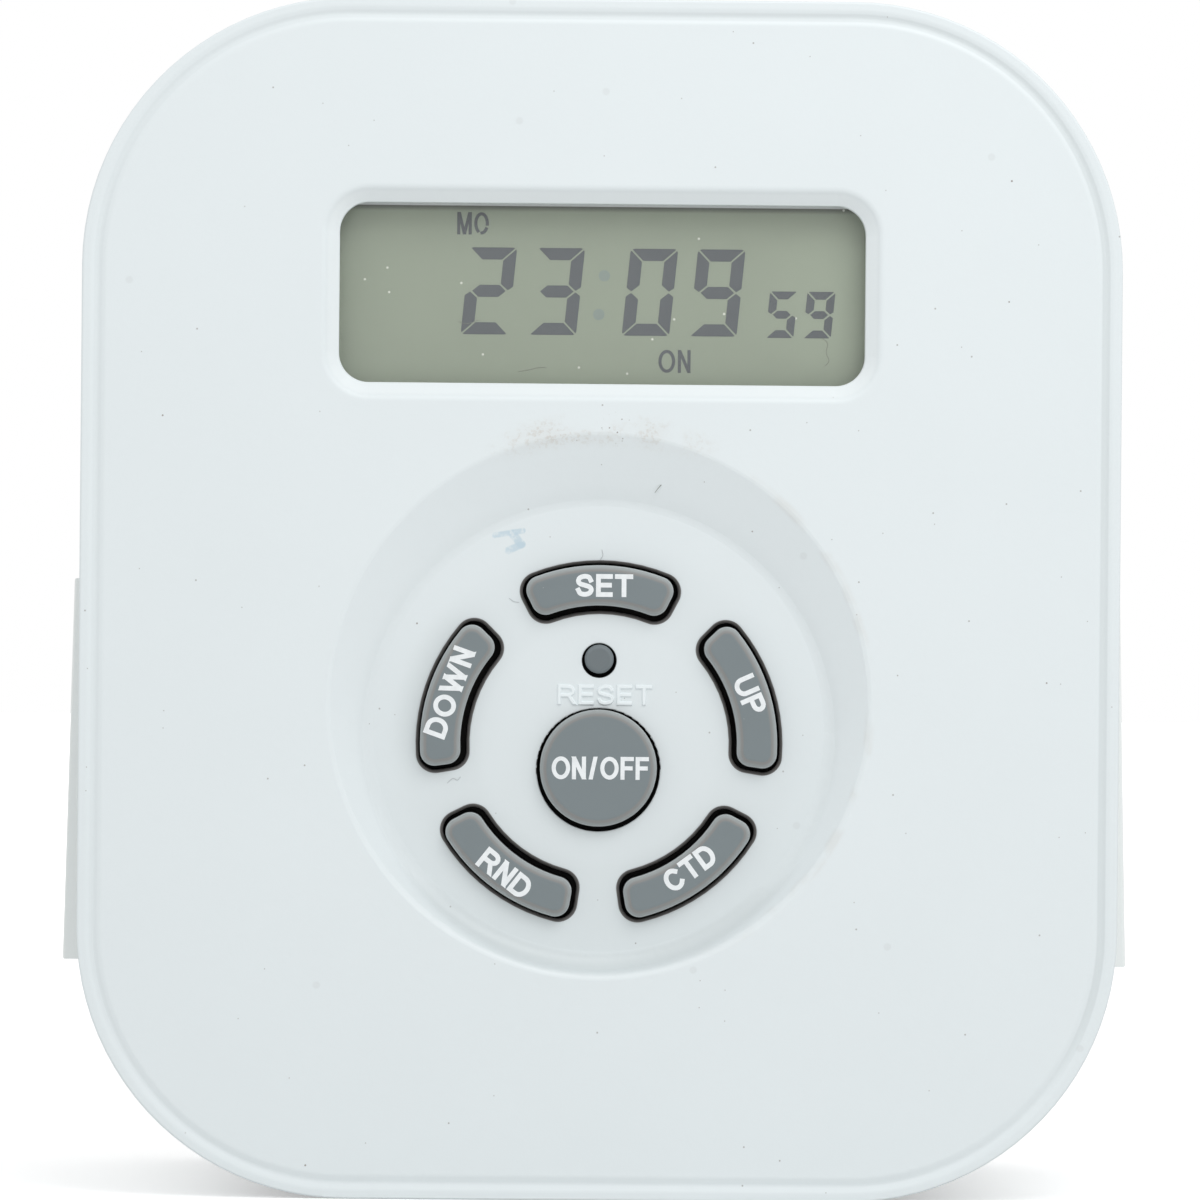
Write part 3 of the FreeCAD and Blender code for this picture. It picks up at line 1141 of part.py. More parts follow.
def outlet_nodes():
    """The inserts, contacts and strips of the two outlets."""
    nodes = {}
    neutral_y = {}
    line_y = {}
    for word, side in SIDES.items():
        line_y[word], neutral_y[word] = slot_places(side)
        nodes[f"socket_insert_{word}"] = socket_insert(side)
        nodes[f"line_contact_{word}"] = blade_contact(side, line_y[word])
        nodes[f"neutral_contact_{word}"] = blade_contact(side, neutral_y[word])
        nodes[f"ground_contact_{word}"] = ground_contact(side)
    nodes["line_bus"] = power_bus(-1, line_y["right"], line_y["left"])
    nodes["neutral_bus"] = power_bus(1, neutral_y["right"], neutral_y["left"])
    nodes["ground_bus"] = ground_bus()
    return nodes


def all_nodes():
    nodes = {
        "front_shell": front_shell(),
        "rear_shell": rear_shell(),
        "case_screws": case_screws(),
        "display_window": display_window(),
        "lcd_panel": lcd_panel(),
        "lcd_polariser": lcd_polariser(),
        "lcd_frame": lcd_frame(),
        "zebra_strips": zebra_strips(),
        "keypad_mat": keypad_mat(),
        "key_contact_pads": key_contact_pads(),
        "control_board": control_board(),
        "controller_chip": controller_chip(),
        "quartz_crystal": quartz_crystal(),
        "chip_parts": chip_parts(),
        "backup_battery": backup_battery(),
        "battery_tabs": battery_tabs(),
        "board_screws": board_screws(),
        "power_board": power_board(),
        "relay_base": relay_base(),
        "relay_cover": relay_cover(),
        "relay_coil": relay_coil(),
        "relay_yoke": relay_yoke(),
        "relay_armature": relay_armature(),
        "relay_fixed_contact": relay_fixed_contact(),
        "dropper_capacitor": dropper_capacitor(),
        "smoothing_capacitor": smoothing_capacitor(),
        "surge_varistor": surge_varistor(),
        "fusible_resistor": fusible_resistor(),
        "rectifier_diodes": rectifier_diodes(),
        "board_link_pins": board_link_pins(),
        "board_link_spacer": board_link_spacer(),
        "line_blade": blade(HALF_PITCH, LINE_BLADE_WIDTH),
        "neutral_blade": blade(-HALF_PITCH, NEUTRAL_BLADE_WIDTH),
        "ground_pin": ground_pin(),
        "blade_retainer": blade_retainer(),
    }
    nodes.update(outlet_nodes())
    for name in KEY_NAMES:
        nodes[name] = key(name)
        nodes[f"{name}_dome"] = key_dome(name)
    return nodes


def main():
    os.makedirs("parts", exist_ok=True)
    for name, shape in all_nodes().items():
        print(name, "solids", len(shape.Solids), "volume", round(shape.Volume, 3), "valid", shape.isValid())
        shape.exportStep(f"parts/{name}.step")


main()
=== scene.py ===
"""Looks of a plug-in digital timer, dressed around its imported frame.

Frame: metres, X to the right seen from the front, Y into the wall outlet, Z up. The face looks along -Y.
Sizes are written in millimetres times MM. Angles are in degrees until they are used.
"""

import math

import bpy
import numpy as np
from mathutils import Matrix, Vector


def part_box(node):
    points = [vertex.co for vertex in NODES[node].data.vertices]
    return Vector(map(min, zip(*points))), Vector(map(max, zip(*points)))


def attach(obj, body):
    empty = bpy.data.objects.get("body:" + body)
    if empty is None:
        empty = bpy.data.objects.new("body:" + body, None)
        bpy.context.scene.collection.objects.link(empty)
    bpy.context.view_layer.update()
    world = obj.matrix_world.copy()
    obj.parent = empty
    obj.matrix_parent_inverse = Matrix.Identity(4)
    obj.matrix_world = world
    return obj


bl_info = {
    "name": "Digital Timer Looks",
    "version": (1, 0, 0),
    "blender": (4, 5, 0),
    "location": "3D View > Sidebar > Timer",
    "description": "Dresses the packed frame of a plug-in digital timer",
    "category": "Object",
}

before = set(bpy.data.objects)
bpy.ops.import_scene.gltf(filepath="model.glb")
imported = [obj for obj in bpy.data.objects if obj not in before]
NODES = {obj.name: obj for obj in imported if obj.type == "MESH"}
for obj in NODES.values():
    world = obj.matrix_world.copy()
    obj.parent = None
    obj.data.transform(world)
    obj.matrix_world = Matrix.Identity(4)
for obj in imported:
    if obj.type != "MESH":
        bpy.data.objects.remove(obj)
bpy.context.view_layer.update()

MM = 0.001
FACE_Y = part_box("front_shell")[0].y
KEY_TOP_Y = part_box("set_key")[0].y
RESET_TOP_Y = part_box("reset_key")[0].y
DISH_FLOOR_Y = RESET_TOP_Y + 0.3 * MM
PANE_FRONT_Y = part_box("display_window")[0].y
FILM_FRONT_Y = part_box("lcd_polariser")[0].y
CASE_LOW, CASE_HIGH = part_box("front_shell")
FLOOR_Z = CASE_LOW.z

# The window opening in the face and the dish round the keys, as the frame has them
WINDOW_HALF_WIDTH = 16.45 * MM
WINDOW_TOP_Z = 24.76 * MM
WINDOW_LOW_Z = 13.5 * MM
BEVEL_WIDTH = 0.95 * MM
DISH_CENTRE_Z = -6.5 * MM
DISH_RIM = 16.9 * MM
DISH_FLOOR_Z = -8.4 * MM
DISH_FLOOR_RADIUS = 14.5 * MM
KEY_RING_Z = -9.0 * MM
KEY_RING_INNER = 8.2 * MM
KEY_RING_OUTER = 11.4 * MM


def colour(name, description, default):
    """A colour property in linear values."""
    return bpy.props.FloatVectorProperty(
        name=name, description=description, subtype="COLOR", size=3, min=0.0, max=1.0, default=default
    )


def length(name, description, default):
    """A length property in metres."""
    return bpy.props.FloatProperty(
        name=name, description=description, unit="LENGTH", subtype="DISTANCE", precision=5, default=default
    )


def share(name, description, default):
    """A property from 0 to 1."""
    return bpy.props.FloatProperty(
        name=name, description=description, subtype="FACTOR", min=0.0, max=1.0, default=default
    )


def turn(name, description, default):
    """An angle property, given in degrees."""
    return bpy.props.FloatProperty(
        name=name, description=description, unit="ROTATION", subtype="ANGLE", default=math.radians(default)
    )


def number(name, description, default):
    """A plain number property, not below 0."""
    return bpy.props.FloatProperty(name=name, description=description, min=0.0, default=default)


class CaseLook(bpy.types.PropertyGroup):
    """Colours, dirt, and painted light and shade of the white case."""

    plastic: colour("Plastic", "Colour of the white case", (0.787, 0.845, 0.862))
    # The rear shell's plastic is a little paler than the front's, and the pads paler still: painted light.
    rear_plastic: colour("Rear plastic", "Colour of the rear shell", (0.81, 0.862, 0.872))
    pad_plastic: colour("Pad plastic", "Colour of the pads in the rear shell's sides", (0.92, 0.95, 0.94))
    # Painted shade: the edges of the key openings and the walls deep in them get dark colours.
    opening: colour("Opening edge", "Colour of the shaded edges of the key openings", (0.155, 0.150, 0.146))
    opening_depth_shade: colour("Opening wall", "Colour deep in the key openings", (0.02, 0.019, 0.018))
    # Painted shade: a darker colour laid on the dish floor and in the groove round the face.
    painted_shade: colour("Painted shade", "Colour of the thin soil on the dish floor", (0.50, 0.55, 0.555))
    # Painted light: a paler colour for the slope round the window.
    clean: colour("Bevel light", "Colour of the brightened slope round the window", (0.832, 0.887, 0.902))
    grime: colour("Grime", "Colour of the dust that settles along edges", (0.50, 0.42, 0.33))
    speck: colour("Speck", "Colour of the dark specks in the surface", (0.16, 0.11, 0.08))
    smudge: colour("Smudge", "Colour of the pale blue rub mark", (0.53, 0.66, 0.74))
    dark_lint: colour("Dark lint", "Colour of the fibres on the window and the slope", (0.22, 0.23, 0.20))
    pale_lint: colour("Pale lint", "Colour of the fibres in the dish", (0.50, 0.53, 0.54))
    grain: length("Grain", "Size of the fine moulded texture", 0.28 * MM)
    grain_height: length("Grain height", "Height of the fine moulded texture", 0.004 * MM)
    dirt: share("Dirt", "How strongly grime and specks show", 0.75)
    word_height: length("Raised word height", "Height of the raised word's letters", 1.18 * MM)
    word_width: length("Raised word width", "Width of the raised word", 5.88 * MM)
    word_stroke: length("Raised word stroke", "Width of the raised letters' strokes", 0.14 * MM)
    word_foot: length("Raised word foot", "How far the raised letters' sides lean out", 0.08 * MM)
    word_rise: length("Raised word rise", "How far the raised word stands over the dish", 0.11 * MM)


class KeyLook(bpy.types.PropertyGroup):
    """The grey rubber keys and their printed words."""

    rubber: colour("Rubber", "Colour of a key's top", (0.205, 0.24, 0.252))
    # Painted light: the warm and the edge colours lighten a key's rounded edge.
    edge_start_light: colour("Warm", "Colour where the top begins to round off", (0.255, 0.255, 0.249))
    edge: colour("Edge", "Colour of the rounded edge", (0.335, 0.362, 0.364))
    shade: colour("Shade", "Colour of the rubber down in the gap", (0.012, 0.011, 0.010))
    reset: colour("Reset rubber", "Colour of the small key", (0.162, 0.188, 0.199))
    dust: colour("Key dust", "Colour of the dust on the keys", (0.6, 0.6, 0.58))
    print_colour: colour("Print", "Colour of the printed words", (0.87, 0.905, 0.92))
    print_height: length("Print height", "Height of the capital letters", 1.43 * MM)
    print_rise: length("Print thickness", "How far the ink stands over the rubber", 0.02 * MM)
    print_stroke: length("Print stroke", "Width of the strokes of the words on the arc keys", 0.3 * MM)
    round_stroke: length("Round key stroke", "Width of the strokes on the round key", 0.26 * MM)


class DisplayLook(bpy.types.PropertyGroup):
    """The liquid crystal display behind the clear window."""

    film: colour("Film", "Colour of the display's ground", (0.287, 0.333, 0.249))
    film_shade: colour("Film shade", "Colour of the ground in the shade of the edge", (0.085, 0.088, 0.074))
    border: colour("Border", "Colour of the pale line along the display's upper edge", (0.82, 0.86, 0.86))
    dust: colour("Display dust", "Colour of the dust on the display", (0.75, 0.77, 0.70))
    glass: colour("Glass", "Colour of the display's glass", (0.42, 0.47, 0.40))
    pane: colour("Window", "Colour of the clear window", (0.9, 0.93, 0.92))
    segment: colour("Segment", "Colour of the digits", (0.063, 0.074, 0.085))
    ghost: colour("Ghost", "Colour of the nearly dark colon", (0.232, 0.292, 0.258))
    digit_height: length("Digit height", "Height of the large digits", 5.46 * MM)
    digit_width: length("Digit width", "Width of a large digit", 2.98 * MM)
    digit_stroke: length("Digit stroke", "Width of a large digit's upright segments", 0.79 * MM)
    bar_stroke: length("Bar stroke", "Width of a large digit's level segments", 0.76 * MM)
    small_height: length("Small height", "Height of the small digits", 2.92 * MM)
    small_width: length("Small width", "Width of a small digit", 1.76 * MM)
    small_stroke: length("Small stroke", "Width of a small digit's upright segments", 0.51 * MM)
    small_bar: length("Small bar", "Width of a small digit's level segments", 0.49 * MM)
    word_stroke: length("Word stroke", "Width of the strokes of the small words", 0.2 * MM)
    slant: turn("Slant", "Lean of the digits", 5.5)
    gap: length("Gap", "Gap between two segments", 0.105 * MM)


class StageLook(bpy.types.PropertyGroup):
    """Camera, lamps and floor."""

    distance: length("Camera distance", "From the camera to the face", 500 * MM)
    view_width: length("View width", "Width of the picture at the face", 75.0 * MM)
    azimuth: turn("Camera azimuth", "How far the camera stands to the left", 0.9)
    roll: turn("Camera roll", "Lean of the picture, clockwise", 0.5)
    key_power: number("Key lamp", "Power of the large lamp over the camera, in watts", 0.175)
    fill: number("Fill", "Strength of the even light from all round", 0.8)
    floor_lift: number("Floor lift", "How much brighter the floor near the timer looks to the camera", 0.42)
    floor: colour("Floor", "Colour of the floor", (0.8, 0.8, 0.8))


class TimerSettings(bpy.types.PropertyGroup):
    """All that a user may change."""

    case: bpy.props.PointerProperty(type=CaseLook, name="Case")
    keys: bpy.props.PointerProperty(type=KeyLook, name="Keys")
    display: bpy.props.PointerProperty(type=DisplayLook, name="Display")
    stage: bpy.props.PointerProperty(type=StageLook, name="Stage")


class Nodes:
    """A node tree being built: short calls that add nodes and join them."""

    def __init__(self, tree):
        self.tree = tree

    def feed(self, node, inputs):
        """Sets each named input, or joins it where the value is another node's output."""
        for key, value in inputs.items():
            if isinstance(value, bpy.types.NodeSocket):
                self.tree.links.new(value, node.inputs[key])
            elif node.inputs[key].type == "RGBA":
                node.inputs[key].default_value = (*value, 1.0)
            else:
                node.inputs[key].default_value = value
        return node

    def node(self, kind, inputs=None, **settings):
        """Adds a shader node of that kind, with its settings and inputs."""
        made = self.tree.nodes.new("ShaderNode" + kind)
        for key, value in settings.items():
            setattr(made, key, value)
        return self.feed(made, inputs or {})

    def maths(self, operation, first, second=0.0):
        """One step of arithmetic on single values."""
        return self.node("Math", {0: first, 1: second}, operation=operation).outputs[0]

    def chain(self, operation, *values):
        """Several values joined by one operation, from left to right."""
        result = values[0]
        for value in values[1:]:
            result = self.maths(operation, result, value)
        return result

    def times(self, *values):
        """The product of several values."""
        return self.chain("MULTIPLY", *values)

    def most(self, *values):
        """The largest of several values."""
        return self.chain("MAXIMUM", *values)

    def ramp(self, value, low, high, first=0.0, last=1.0):
        """A smooth step from first to last while the value goes from low to high."""
        inputs = {"Value": value, "From Min": low, "From Max": high, "To Min": first, "To Max": last}
        return self.node("MapRange", inputs, interpolation_type="SMOOTHSTEP", clamp=True).outputs[0]

    def fall(self, value, low, high, first=1.0):
        """A smooth step down from first to nothing while the value goes from low to high."""
        return self.ramp(value, low, high, first, 0.0)

    def between(self, value, low, high, soft):
        """1 where the value lies from low to high, fading out over soft on both sides."""
        return self.times(self.ramp(value, low - soft, low), self.fall(value, high, high + soft))

    def blend(self, factor, first, second):
        """Two colours mixed: only the first at 0, only the second at 1."""
        node = self.node("Mix", {"Factor": factor}, data_type="RGBA")
        colours = [socket for socket in node.inputs if socket.type == "RGBA"]
        for socket, value in zip(colours, (first, second)):
            if isinstance(value, bpy.types.NodeSocket):
                self.tree.links.new(value, socket)
            else:
                socket.default_value = (*value, 1.0)
        return [socket for socket in node.outputs if socket.type == "RGBA"][0]


class Finish(Nodes):
    """A material being built around its surface shader."""

    def __init__(self, name):
        self.material = bpy.data.materials.new(name)
        self.material.use_nodes = True
        super().__init__(self.material.node_tree)
        self.surface = self.tree.nodes["Principled BSDF"]
        self.place = self.node("TexCoord").outputs["Object"]
        self.parts = self.node("SeparateXYZ", {"Vector": self.place})

    def mottle(self, pattern, base, low, high):
        """The first tint: base times low where the pattern is 0, and times high where it is 1."""
        self.tint = self.blend(pattern, tinted(base, low), tinted(base, high))

    def lay(self, amount, colour):
        """Lays another colour over the finish's tint, by amount."""
        self.tint = self.blend(amount, self.tint, colour)

    def set(self, **sockets):
        """Sets the surface shader's inputs: its Base Color is the tint, emission_color= is Emission Color."""
        names = {socket.name.lower().replace(" ", "_"): socket.name for socket in self.surface.inputs}
        self.feed(self.surface, {names[key]: value for key, value in sockets.items()})
        self.feed(self.surface, {"Base Color": self.tint})
        return self.material

    def axis(self, letter):
        """The place along one axis."""
        return self.parts.outputs[letter]

    def past(self, letter, start):
        """How far the place lies past start along one axis."""
        return self.maths("SUBTRACT", self.axis(letter), start)

    def noise(self, size, detail=2.0, roughness=0.5, stretch=None, shift=0.0):
        """Soft noise with blots about as large as size. They run long where stretch is small."""
        place = self.place
        if stretch:
            place = self.node("Mapping", {"Vector": place, "Scale": stretch}).outputs[0]
        inputs = {"Vector": place, "W": shift, "Scale": 1.0 / size, "Detail": detail, "Roughness": roughness}
        return self.node("TexNoise", inputs, noise_dimensions="4D").outputs[0]

    def specks(self, spacing, radius, kept, flat=False):
        """Small dots in the kept share of cells that are about spacing wide. flat ones run along Y."""
        place = self.place
        if flat:
            place = self.node("CombineXYZ", {"X": self.axis("X"), "Y": self.axis("Z")}).outputs[0]
        inputs = {"Vector": place, "Scale": 1.0 / spacing}
        cells = self.node("TexVoronoi", inputs, voronoi_dimensions="2D" if flat else "3D")
        lottery = self.node("SeparateColor", {"Color": cells.outputs["Color"]}).outputs
        near = self.fall(cells.outputs["Distance"], 0.5 * radius / spacing, radius / spacing)
        return self.times(near, self.maths("LESS_THAN", lottery[0], kept))

    def diagonal(self, first, second):
        """The root of the sum of two squares."""
        squares = self.maths("ADD", self.times(first, first), self.times(second, second))
        return self.maths("SQRT", squares)

    def distance_to(self, x, z):
        """Distance from a point of the face, seen straight from the front."""
        return self.diagonal(self.past("X", x), self.past("Z", z))

    def distance_to_line(self, start, end):
        """Distance from a stretch between two (x, z) points of the face.

        The place's share of the way along is cut off to 0 and 1, and the distance is taken from there.
        """
        (x0, z0), (x1, z1) = start, end
        dx, dz = self.past("X", x0), self.past("Z", z0)
        run = (x1 - x0) ** 2 + (z1 - z0) ** 2
        along = self.maths("ADD", self.times(dx, (x1 - x0) / run), self.times(dz, (z1 - z0) / run))
        along = self.maths("MAXIMUM", self.maths("MINIMUM", along, 1.0), 0.0)
        off_x = self.maths("SUBTRACT", dx, self.times(along, x1 - x0))
        off_z = self.maths("SUBTRACT", dz, self.times(along, z1 - z0))
        return self.diagonal(off_x, off_z)

    def bump(self, height, rise, under=None):
        """A bump of that rise, in metres. under is another bump that this one lies on."""
        inputs = {"Height": height, "Distance": rise, "Strength": 1.0}
        if under is not None:
            inputs["Normal"] = under
        return self.node("Bump", inputs).outputs[0]


def tinted(base, factor):
    """The colour made lighter or darker, kept between 0 and 1."""
    return tuple(min(1.0, max(0.0, value * factor)) for value in base)


def moulded(name, base, roughness, grain, rise, variation=0.03):
    """Moulded plastic: fine grain, soft clouds of colour and gloss, and small flow marks."""
    finish = Finish(name)
    cloud = finish.noise(9 * MM, 3.0)
    fine = finish.noise(grain, 3.0, 0.6, shift=2.0)
    finish.mottle(cloud, base, 1 - variation, 1 + variation)
    flow = finish.noise(3 * MM, 2.0, stretch=(0.25, 1.0, 1.0), shift=5.0)
    normal = finish.bump(fine, rise, finish.bump(flow, rise))
    gloss = finish.ramp(cloud, 0.3, 0.7, roughness - 0.05, roughness + 0.05)
    return finish.set(roughness=gloss, normal=normal)


def case_plastic(look, front):
    """White case plastic. The front has settled dust, specks, a rub mark, and painted light and shade, and
    the rear has pads made paler as painted light.
    """
    finish = Finish("case_front" if front else "case_rear")
    cloud = finish.noise(11 * MM, 3.0)
    fine = finish.noise(look.grain, 3.0, 0.65, shift=2.0)
    base = look.plastic if front else look.rear_plastic
    finish.mottle(cloud, base, 0.985, 1.012)
    specks = finish.specks(2.3 * MM, 0.085 * MM, 0.16)
    finish.lay(finish.times(specks, look.dirt), look.speck)
    if front:
        front_dirt_and_shading(finish, look)
    else:
        # Painted light: the pads past the case's sides get a paler colour.
        from_side = finish.maths("SUBTRACT", finish.maths("ABSOLUTE", finish.axis("X")), CASE_HIGH.x)
        past_side = finish.ramp(from_side, 0.02 * MM, 0.1 * MM)
        pad_light = finish.times(past_side, finish.ramp(cloud, 0.2, 0.5, 0.94, 1.0))
        finish.lay(pad_light, look.pad_plastic)
    broad = finish.noise(2.2 * MM, 2.0, shift=7.0)
    normal = finish.bump(fine, look.grain_height, finish.bump(broad, 1.5 * look.grain_height))
    gloss = finish.ramp(cloud, 0.3, 0.7, 0.36, 0.44)
    return finish.set(roughness=gloss, normal=normal, specular_ior_level=0.4)


def front_dirt_and_shading(finish, look):
    """Specks on the face, painted shade in the dish and its groove, painted light on the window's bevel, dust
    along the dish's rim under the window, a pale rub mark, and painted shade on the edges and walls of the
    key openings.
    """
    from_dish = finish.distance_to(0.0, DISH_CENTRE_Z)
    face_dirt_and_shading(finish, look)
    dish_shade(finish, look)
    rim_dust(finish, look, finish.maths("SUBTRACT", from_dish, DISH_RIM))
    rub_mark(finish, look)
    # Painted shade on the rounded edges of the key openings and on the walls deep in them.
    in_dish = finish.maths("LESS_THAN", from_dish, DISH_RIM)
    depth = finish.past("Y", DISH_FLOOR_Y)
    at_arcs = finish.maths("GREATER_THAN", finish.distance_to(0.0, KEY_RING_Z), KEY_RING_INNER - 0.6 * MM)
    edge = finish.times(finish.ramp(depth, 0.006 * MM, 0.022 * MM), in_dish, at_arcs)
    finish.lay(edge, look.opening)
    at_round = finish.times(finish.ramp(depth, 0.02 * MM, 0.05 * MM), finish.maths("SUBTRACT", 1.0, at_arcs))
    deep = finish.most(at_round, finish.ramp(depth, 0.16 * MM, 0.27 * MM))
    finish.lay(finish.times(deep, in_dish), look.opening_depth_shade)


# Fine specks on the face: spacing and radius in millimetres, the share of cells with one, and strength
FACE_SPECKS = ((2.3, 0.075, 0.04, 0.65), (1.6, 0.05, 0.04, 0.6), (6.0, 0.3, 0.12, 0.1))


def face_dirt_and_shading(finish, look):
    """Fine specks on the face, painted shade in the groove round it, and painted light on the slope round the
    window.
    """
    depth = finish.past("Y", FACE_Y)
    in_dish = finish.maths("LESS_THAN", finish.distance_to(0.0, DISH_CENTRE_Z), DISH_RIM + 1.0 * MM)
    in_dish = finish.times(in_dish, finish.fall(depth, 1.9 * MM, 2.1 * MM))
    in_front = finish.most(in_dish, finish.fall(depth, 0.2 * MM, 0.3 * MM))
    for spacing, radius, kept, strength in FACE_SPECKS:
        specks = finish.times(finish.specks(spacing * MM, radius * MM, kept, True), in_front)
        finish.lay(finish.times(specks, strength * look.dirt), look.speck)
    x, z = finish.maths("ABSOLUTE", finish.axis("X")), finish.maths("ABSOLUTE", finish.axis("Z"))
    near_rim = finish.most(
        finish.maths("GREATER_THAN", x, CASE_HIGH.x - 4 * MM),
        finish.maths("GREATER_THAN", finish.maths("ADD", x, z), 50 * MM),
        finish.maths("GREATER_THAN", z, CASE_HIGH.z - 4 * MM),
    )
    # Painted shade in the groove round the face, stronger to the right.
    groove_shade = finish.times(
        finish.between(depth, 0.09 * MM, 0.14 * MM, 0.04 * MM), near_rim,
        finish.ramp(finish.axis("X"), -30 * MM, 31 * MM, 0.1, 0.3),
        finish.ramp(finish.axis("Z"), -32 * MM, -24 * MM),
    )
    finish.lay(groove_shade, look.painted_shade)
    # Painted light: the slope round the window is made paler.
    past_bevel = WINDOW_HALF_WIDTH + BEVEL_WIDTH
    bevel_light_mask = finish.times(
        finish.ramp(depth, 0.05 * MM, 0.3 * MM),
        finish.between(finish.axis("X"), -past_bevel, past_bevel, 0.1 * MM),
        finish.between(finish.axis("Z"), WINDOW_LOW_Z - BEVEL_WIDTH, WINDOW_TOP_Z + BEVEL_WIDTH, 0.1 * MM),
    )
    finish.lay(bevel_light_mask, look.clean)


def dish_shade(finish, look):
    """Painted shade on the dish floor: darker towards its lower edge, all round the keys and more to their
    left.
    """
    # Painted shade: darker towards the bottom of the dish, a painted shadow round the keys that is stronger
    # to their left, and darker along the floor's lower edge.
    floor = finish.ramp(finish.axis("Y"), FACE_Y + 1.1 * MM, FACE_Y + 1.6 * MM)
    overall = finish.ramp(finish.axis("Z"), -20 * MM, 0.0, 0.19, 0.06)
    from_ring = finish.distance_to(0.0, KEY_RING_Z)
    outside = finish.fall(from_ring, KEY_RING_OUTER, KEY_RING_OUTER + 1.9 * MM)
    inside = finish.ramp(from_ring, KEY_RING_INNER - 1.2 * MM, KEY_RING_INNER)
    left = finish.times(finish.fall(finish.axis("X"), -12 * MM, -4 * MM, 0.2),
                        finish.between(finish.axis("Z"), -9 * MM, -2 * MM, 3.5 * MM))
    key_shadow = finish.times(outside, inside, finish.maths("ADD", left, 0.05))
    amount = finish.times(floor, finish.maths("ADD", overall, key_shadow))
    from_floor = finish.maths("SUBTRACT", finish.distance_to(0.0, DISH_FLOOR_Z), DISH_FLOOR_RADIUS)
    low = finish.fall(finish.axis("Z"), -20 * MM, -15 * MM)
    bend = finish.times(finish.between(from_floor, -0.5 * MM, 0.15 * MM, 0.6 * MM), low, 0.38)
    finish.lay(finish.most(amount, bend), look.painted_shade)


def rim_dust(finish, look, past_rim):
    """Brown crumbs over the dish's upper rim, and a faint trace on its right rim."""
    crumbs = finish.noise(0.28 * MM, 4.0, 0.7, shift=11.0)
    patches = finish.noise(2.6 * MM, 2.0, shift=13.0)
    upper = finish.ramp(finish.axis("Z"), 8 * MM, 10.3 * MM)
    on_rim = finish.times(finish.between(past_rim, 0.0, 0.5 * MM, 1.1 * MM), upper)
    crumbled = finish.times(finish.ramp(crumbs, 0.47, 0.62), finish.ramp(patches, 0.38, 0.55))
    middle = finish.between(finish.axis("X"), -3 * MM, 3 * MM, 6 * MM)
    finish.lay(finish.times(on_rim, crumbled, middle, 0.45 * look.dirt), look.grime)
    haze = finish.times(on_rim, finish.ramp(patches, 0.35, 0.6), middle, 0.12)
    finish.lay(haze, look.grime)
    grains = finish.specks(0.42 * MM, 0.06 * MM, 0.4, True)
    heap = finish.fall(finish.distance_to(1.0 * MM, 10.7 * MM), 0.3 * MM, 1.2 * MM, 0.8)
    finish.lay(finish.times(grains, heap), look.speck)
    right = finish.ramp(finish.axis("X"), 3 * MM, 12 * MM)
    trace = finish.times(finish.between(past_rim, -0.1 * MM, 0.2 * MM, 0.3 * MM), right)
    trace = finish.times(trace, finish.ramp(patches, 0.45, 0.65), 0.14)
    finish.lay(trace, look.grime)


# The strokes of the pale blue mark on the dish's slope, as (start, end, half width), in millimetres
RUB_STROKES = (
    ((-6.6, 4.0), (-4.85, 4.3), 0.11),
    ((-5.5, 4.1), (-4.95, 3.45), 0.2),
    ((-5.75, 3.05), (-4.9, 3.45), 0.16),
)


def rub_mark(finish, look):
    """A small pale blue mark on the dish's slope, like a torn flag with a streak to its left."""
    smear = finish.noise(0.5 * MM, 3.0, 0.6, shift=17.0)
    for start, end, half in RUB_STROKES:
        ends = [(x * MM, z * MM) for x, z in (start, end)]
        near = finish.fall(finish.distance_to_line(*ends), half * MM, (half + 0.12) * MM)
        mark = finish.times(near, finish.ramp(smear, 0.36, 0.56, 0.25, 1.0), 0.75)
        finish.lay(mark, look.smudge)


def key_rubber(name, look, top_y, top_colour, edge_start_light_colour, edge_light_colour):
    """Matte silicone rubber: painted light that makes it warmer, then paler as its edge rounds off, a painted
    highlight along the edge, and painted shade down in the gap.
    """
    finish = Finish(name)
    cloud = finish.noise(3.5 * MM, 3.0)
    finish.mottle(cloud, top_colour, 0.96, 1.04)
    depth = finish.past("Y", top_y)
    # Painted light on the rounded edge, a painted highlight along it, and painted shade down in the gap.
    finish.lay(finish.ramp(depth, 0.0, 0.025 * MM), edge_start_light_colour)
    finish.lay(finish.ramp(depth, 0.01 * MM, 0.16 * MM), edge_light_colour)
    rim = finish.ramp(depth, 0.2 * MM, 0.3 * MM, 0.0, 0.8)
    finish.lay(rim, tinted(edge_light_colour, 1.35))
    finish.lay(finish.ramp(depth, 0.42 * MM, 0.62 * MM), look.shade)
    dust = finish.specks(0.9 * MM, 0.035 * MM, 0.12)
    finish.lay(finish.times(dust, 0.5), look.dust)
    fine = finish.noise(0.12 * MM, 3.0, 0.6, shift=3.0)
    gloss = finish.ramp(cloud, 0.3, 0.7, 0.56, 0.66)
    normal = finish.bump(fine, 0.003 * MM)
    return finish.set(roughness=gloss, normal=normal, specular_ior_level=0.35)


def ink(name, base):
    """Screen-printed ink with slightly uneven cover."""
    finish = Finish(name)
    cover = finish.noise(0.35 * MM, 3.0)
    finish.mottle(finish.ramp(cover, 0.3, 0.6), base, 0.93, 1.0)
    return finish.set(roughness=0.5, normal=finish.bump(cover, 0.003 * MM))


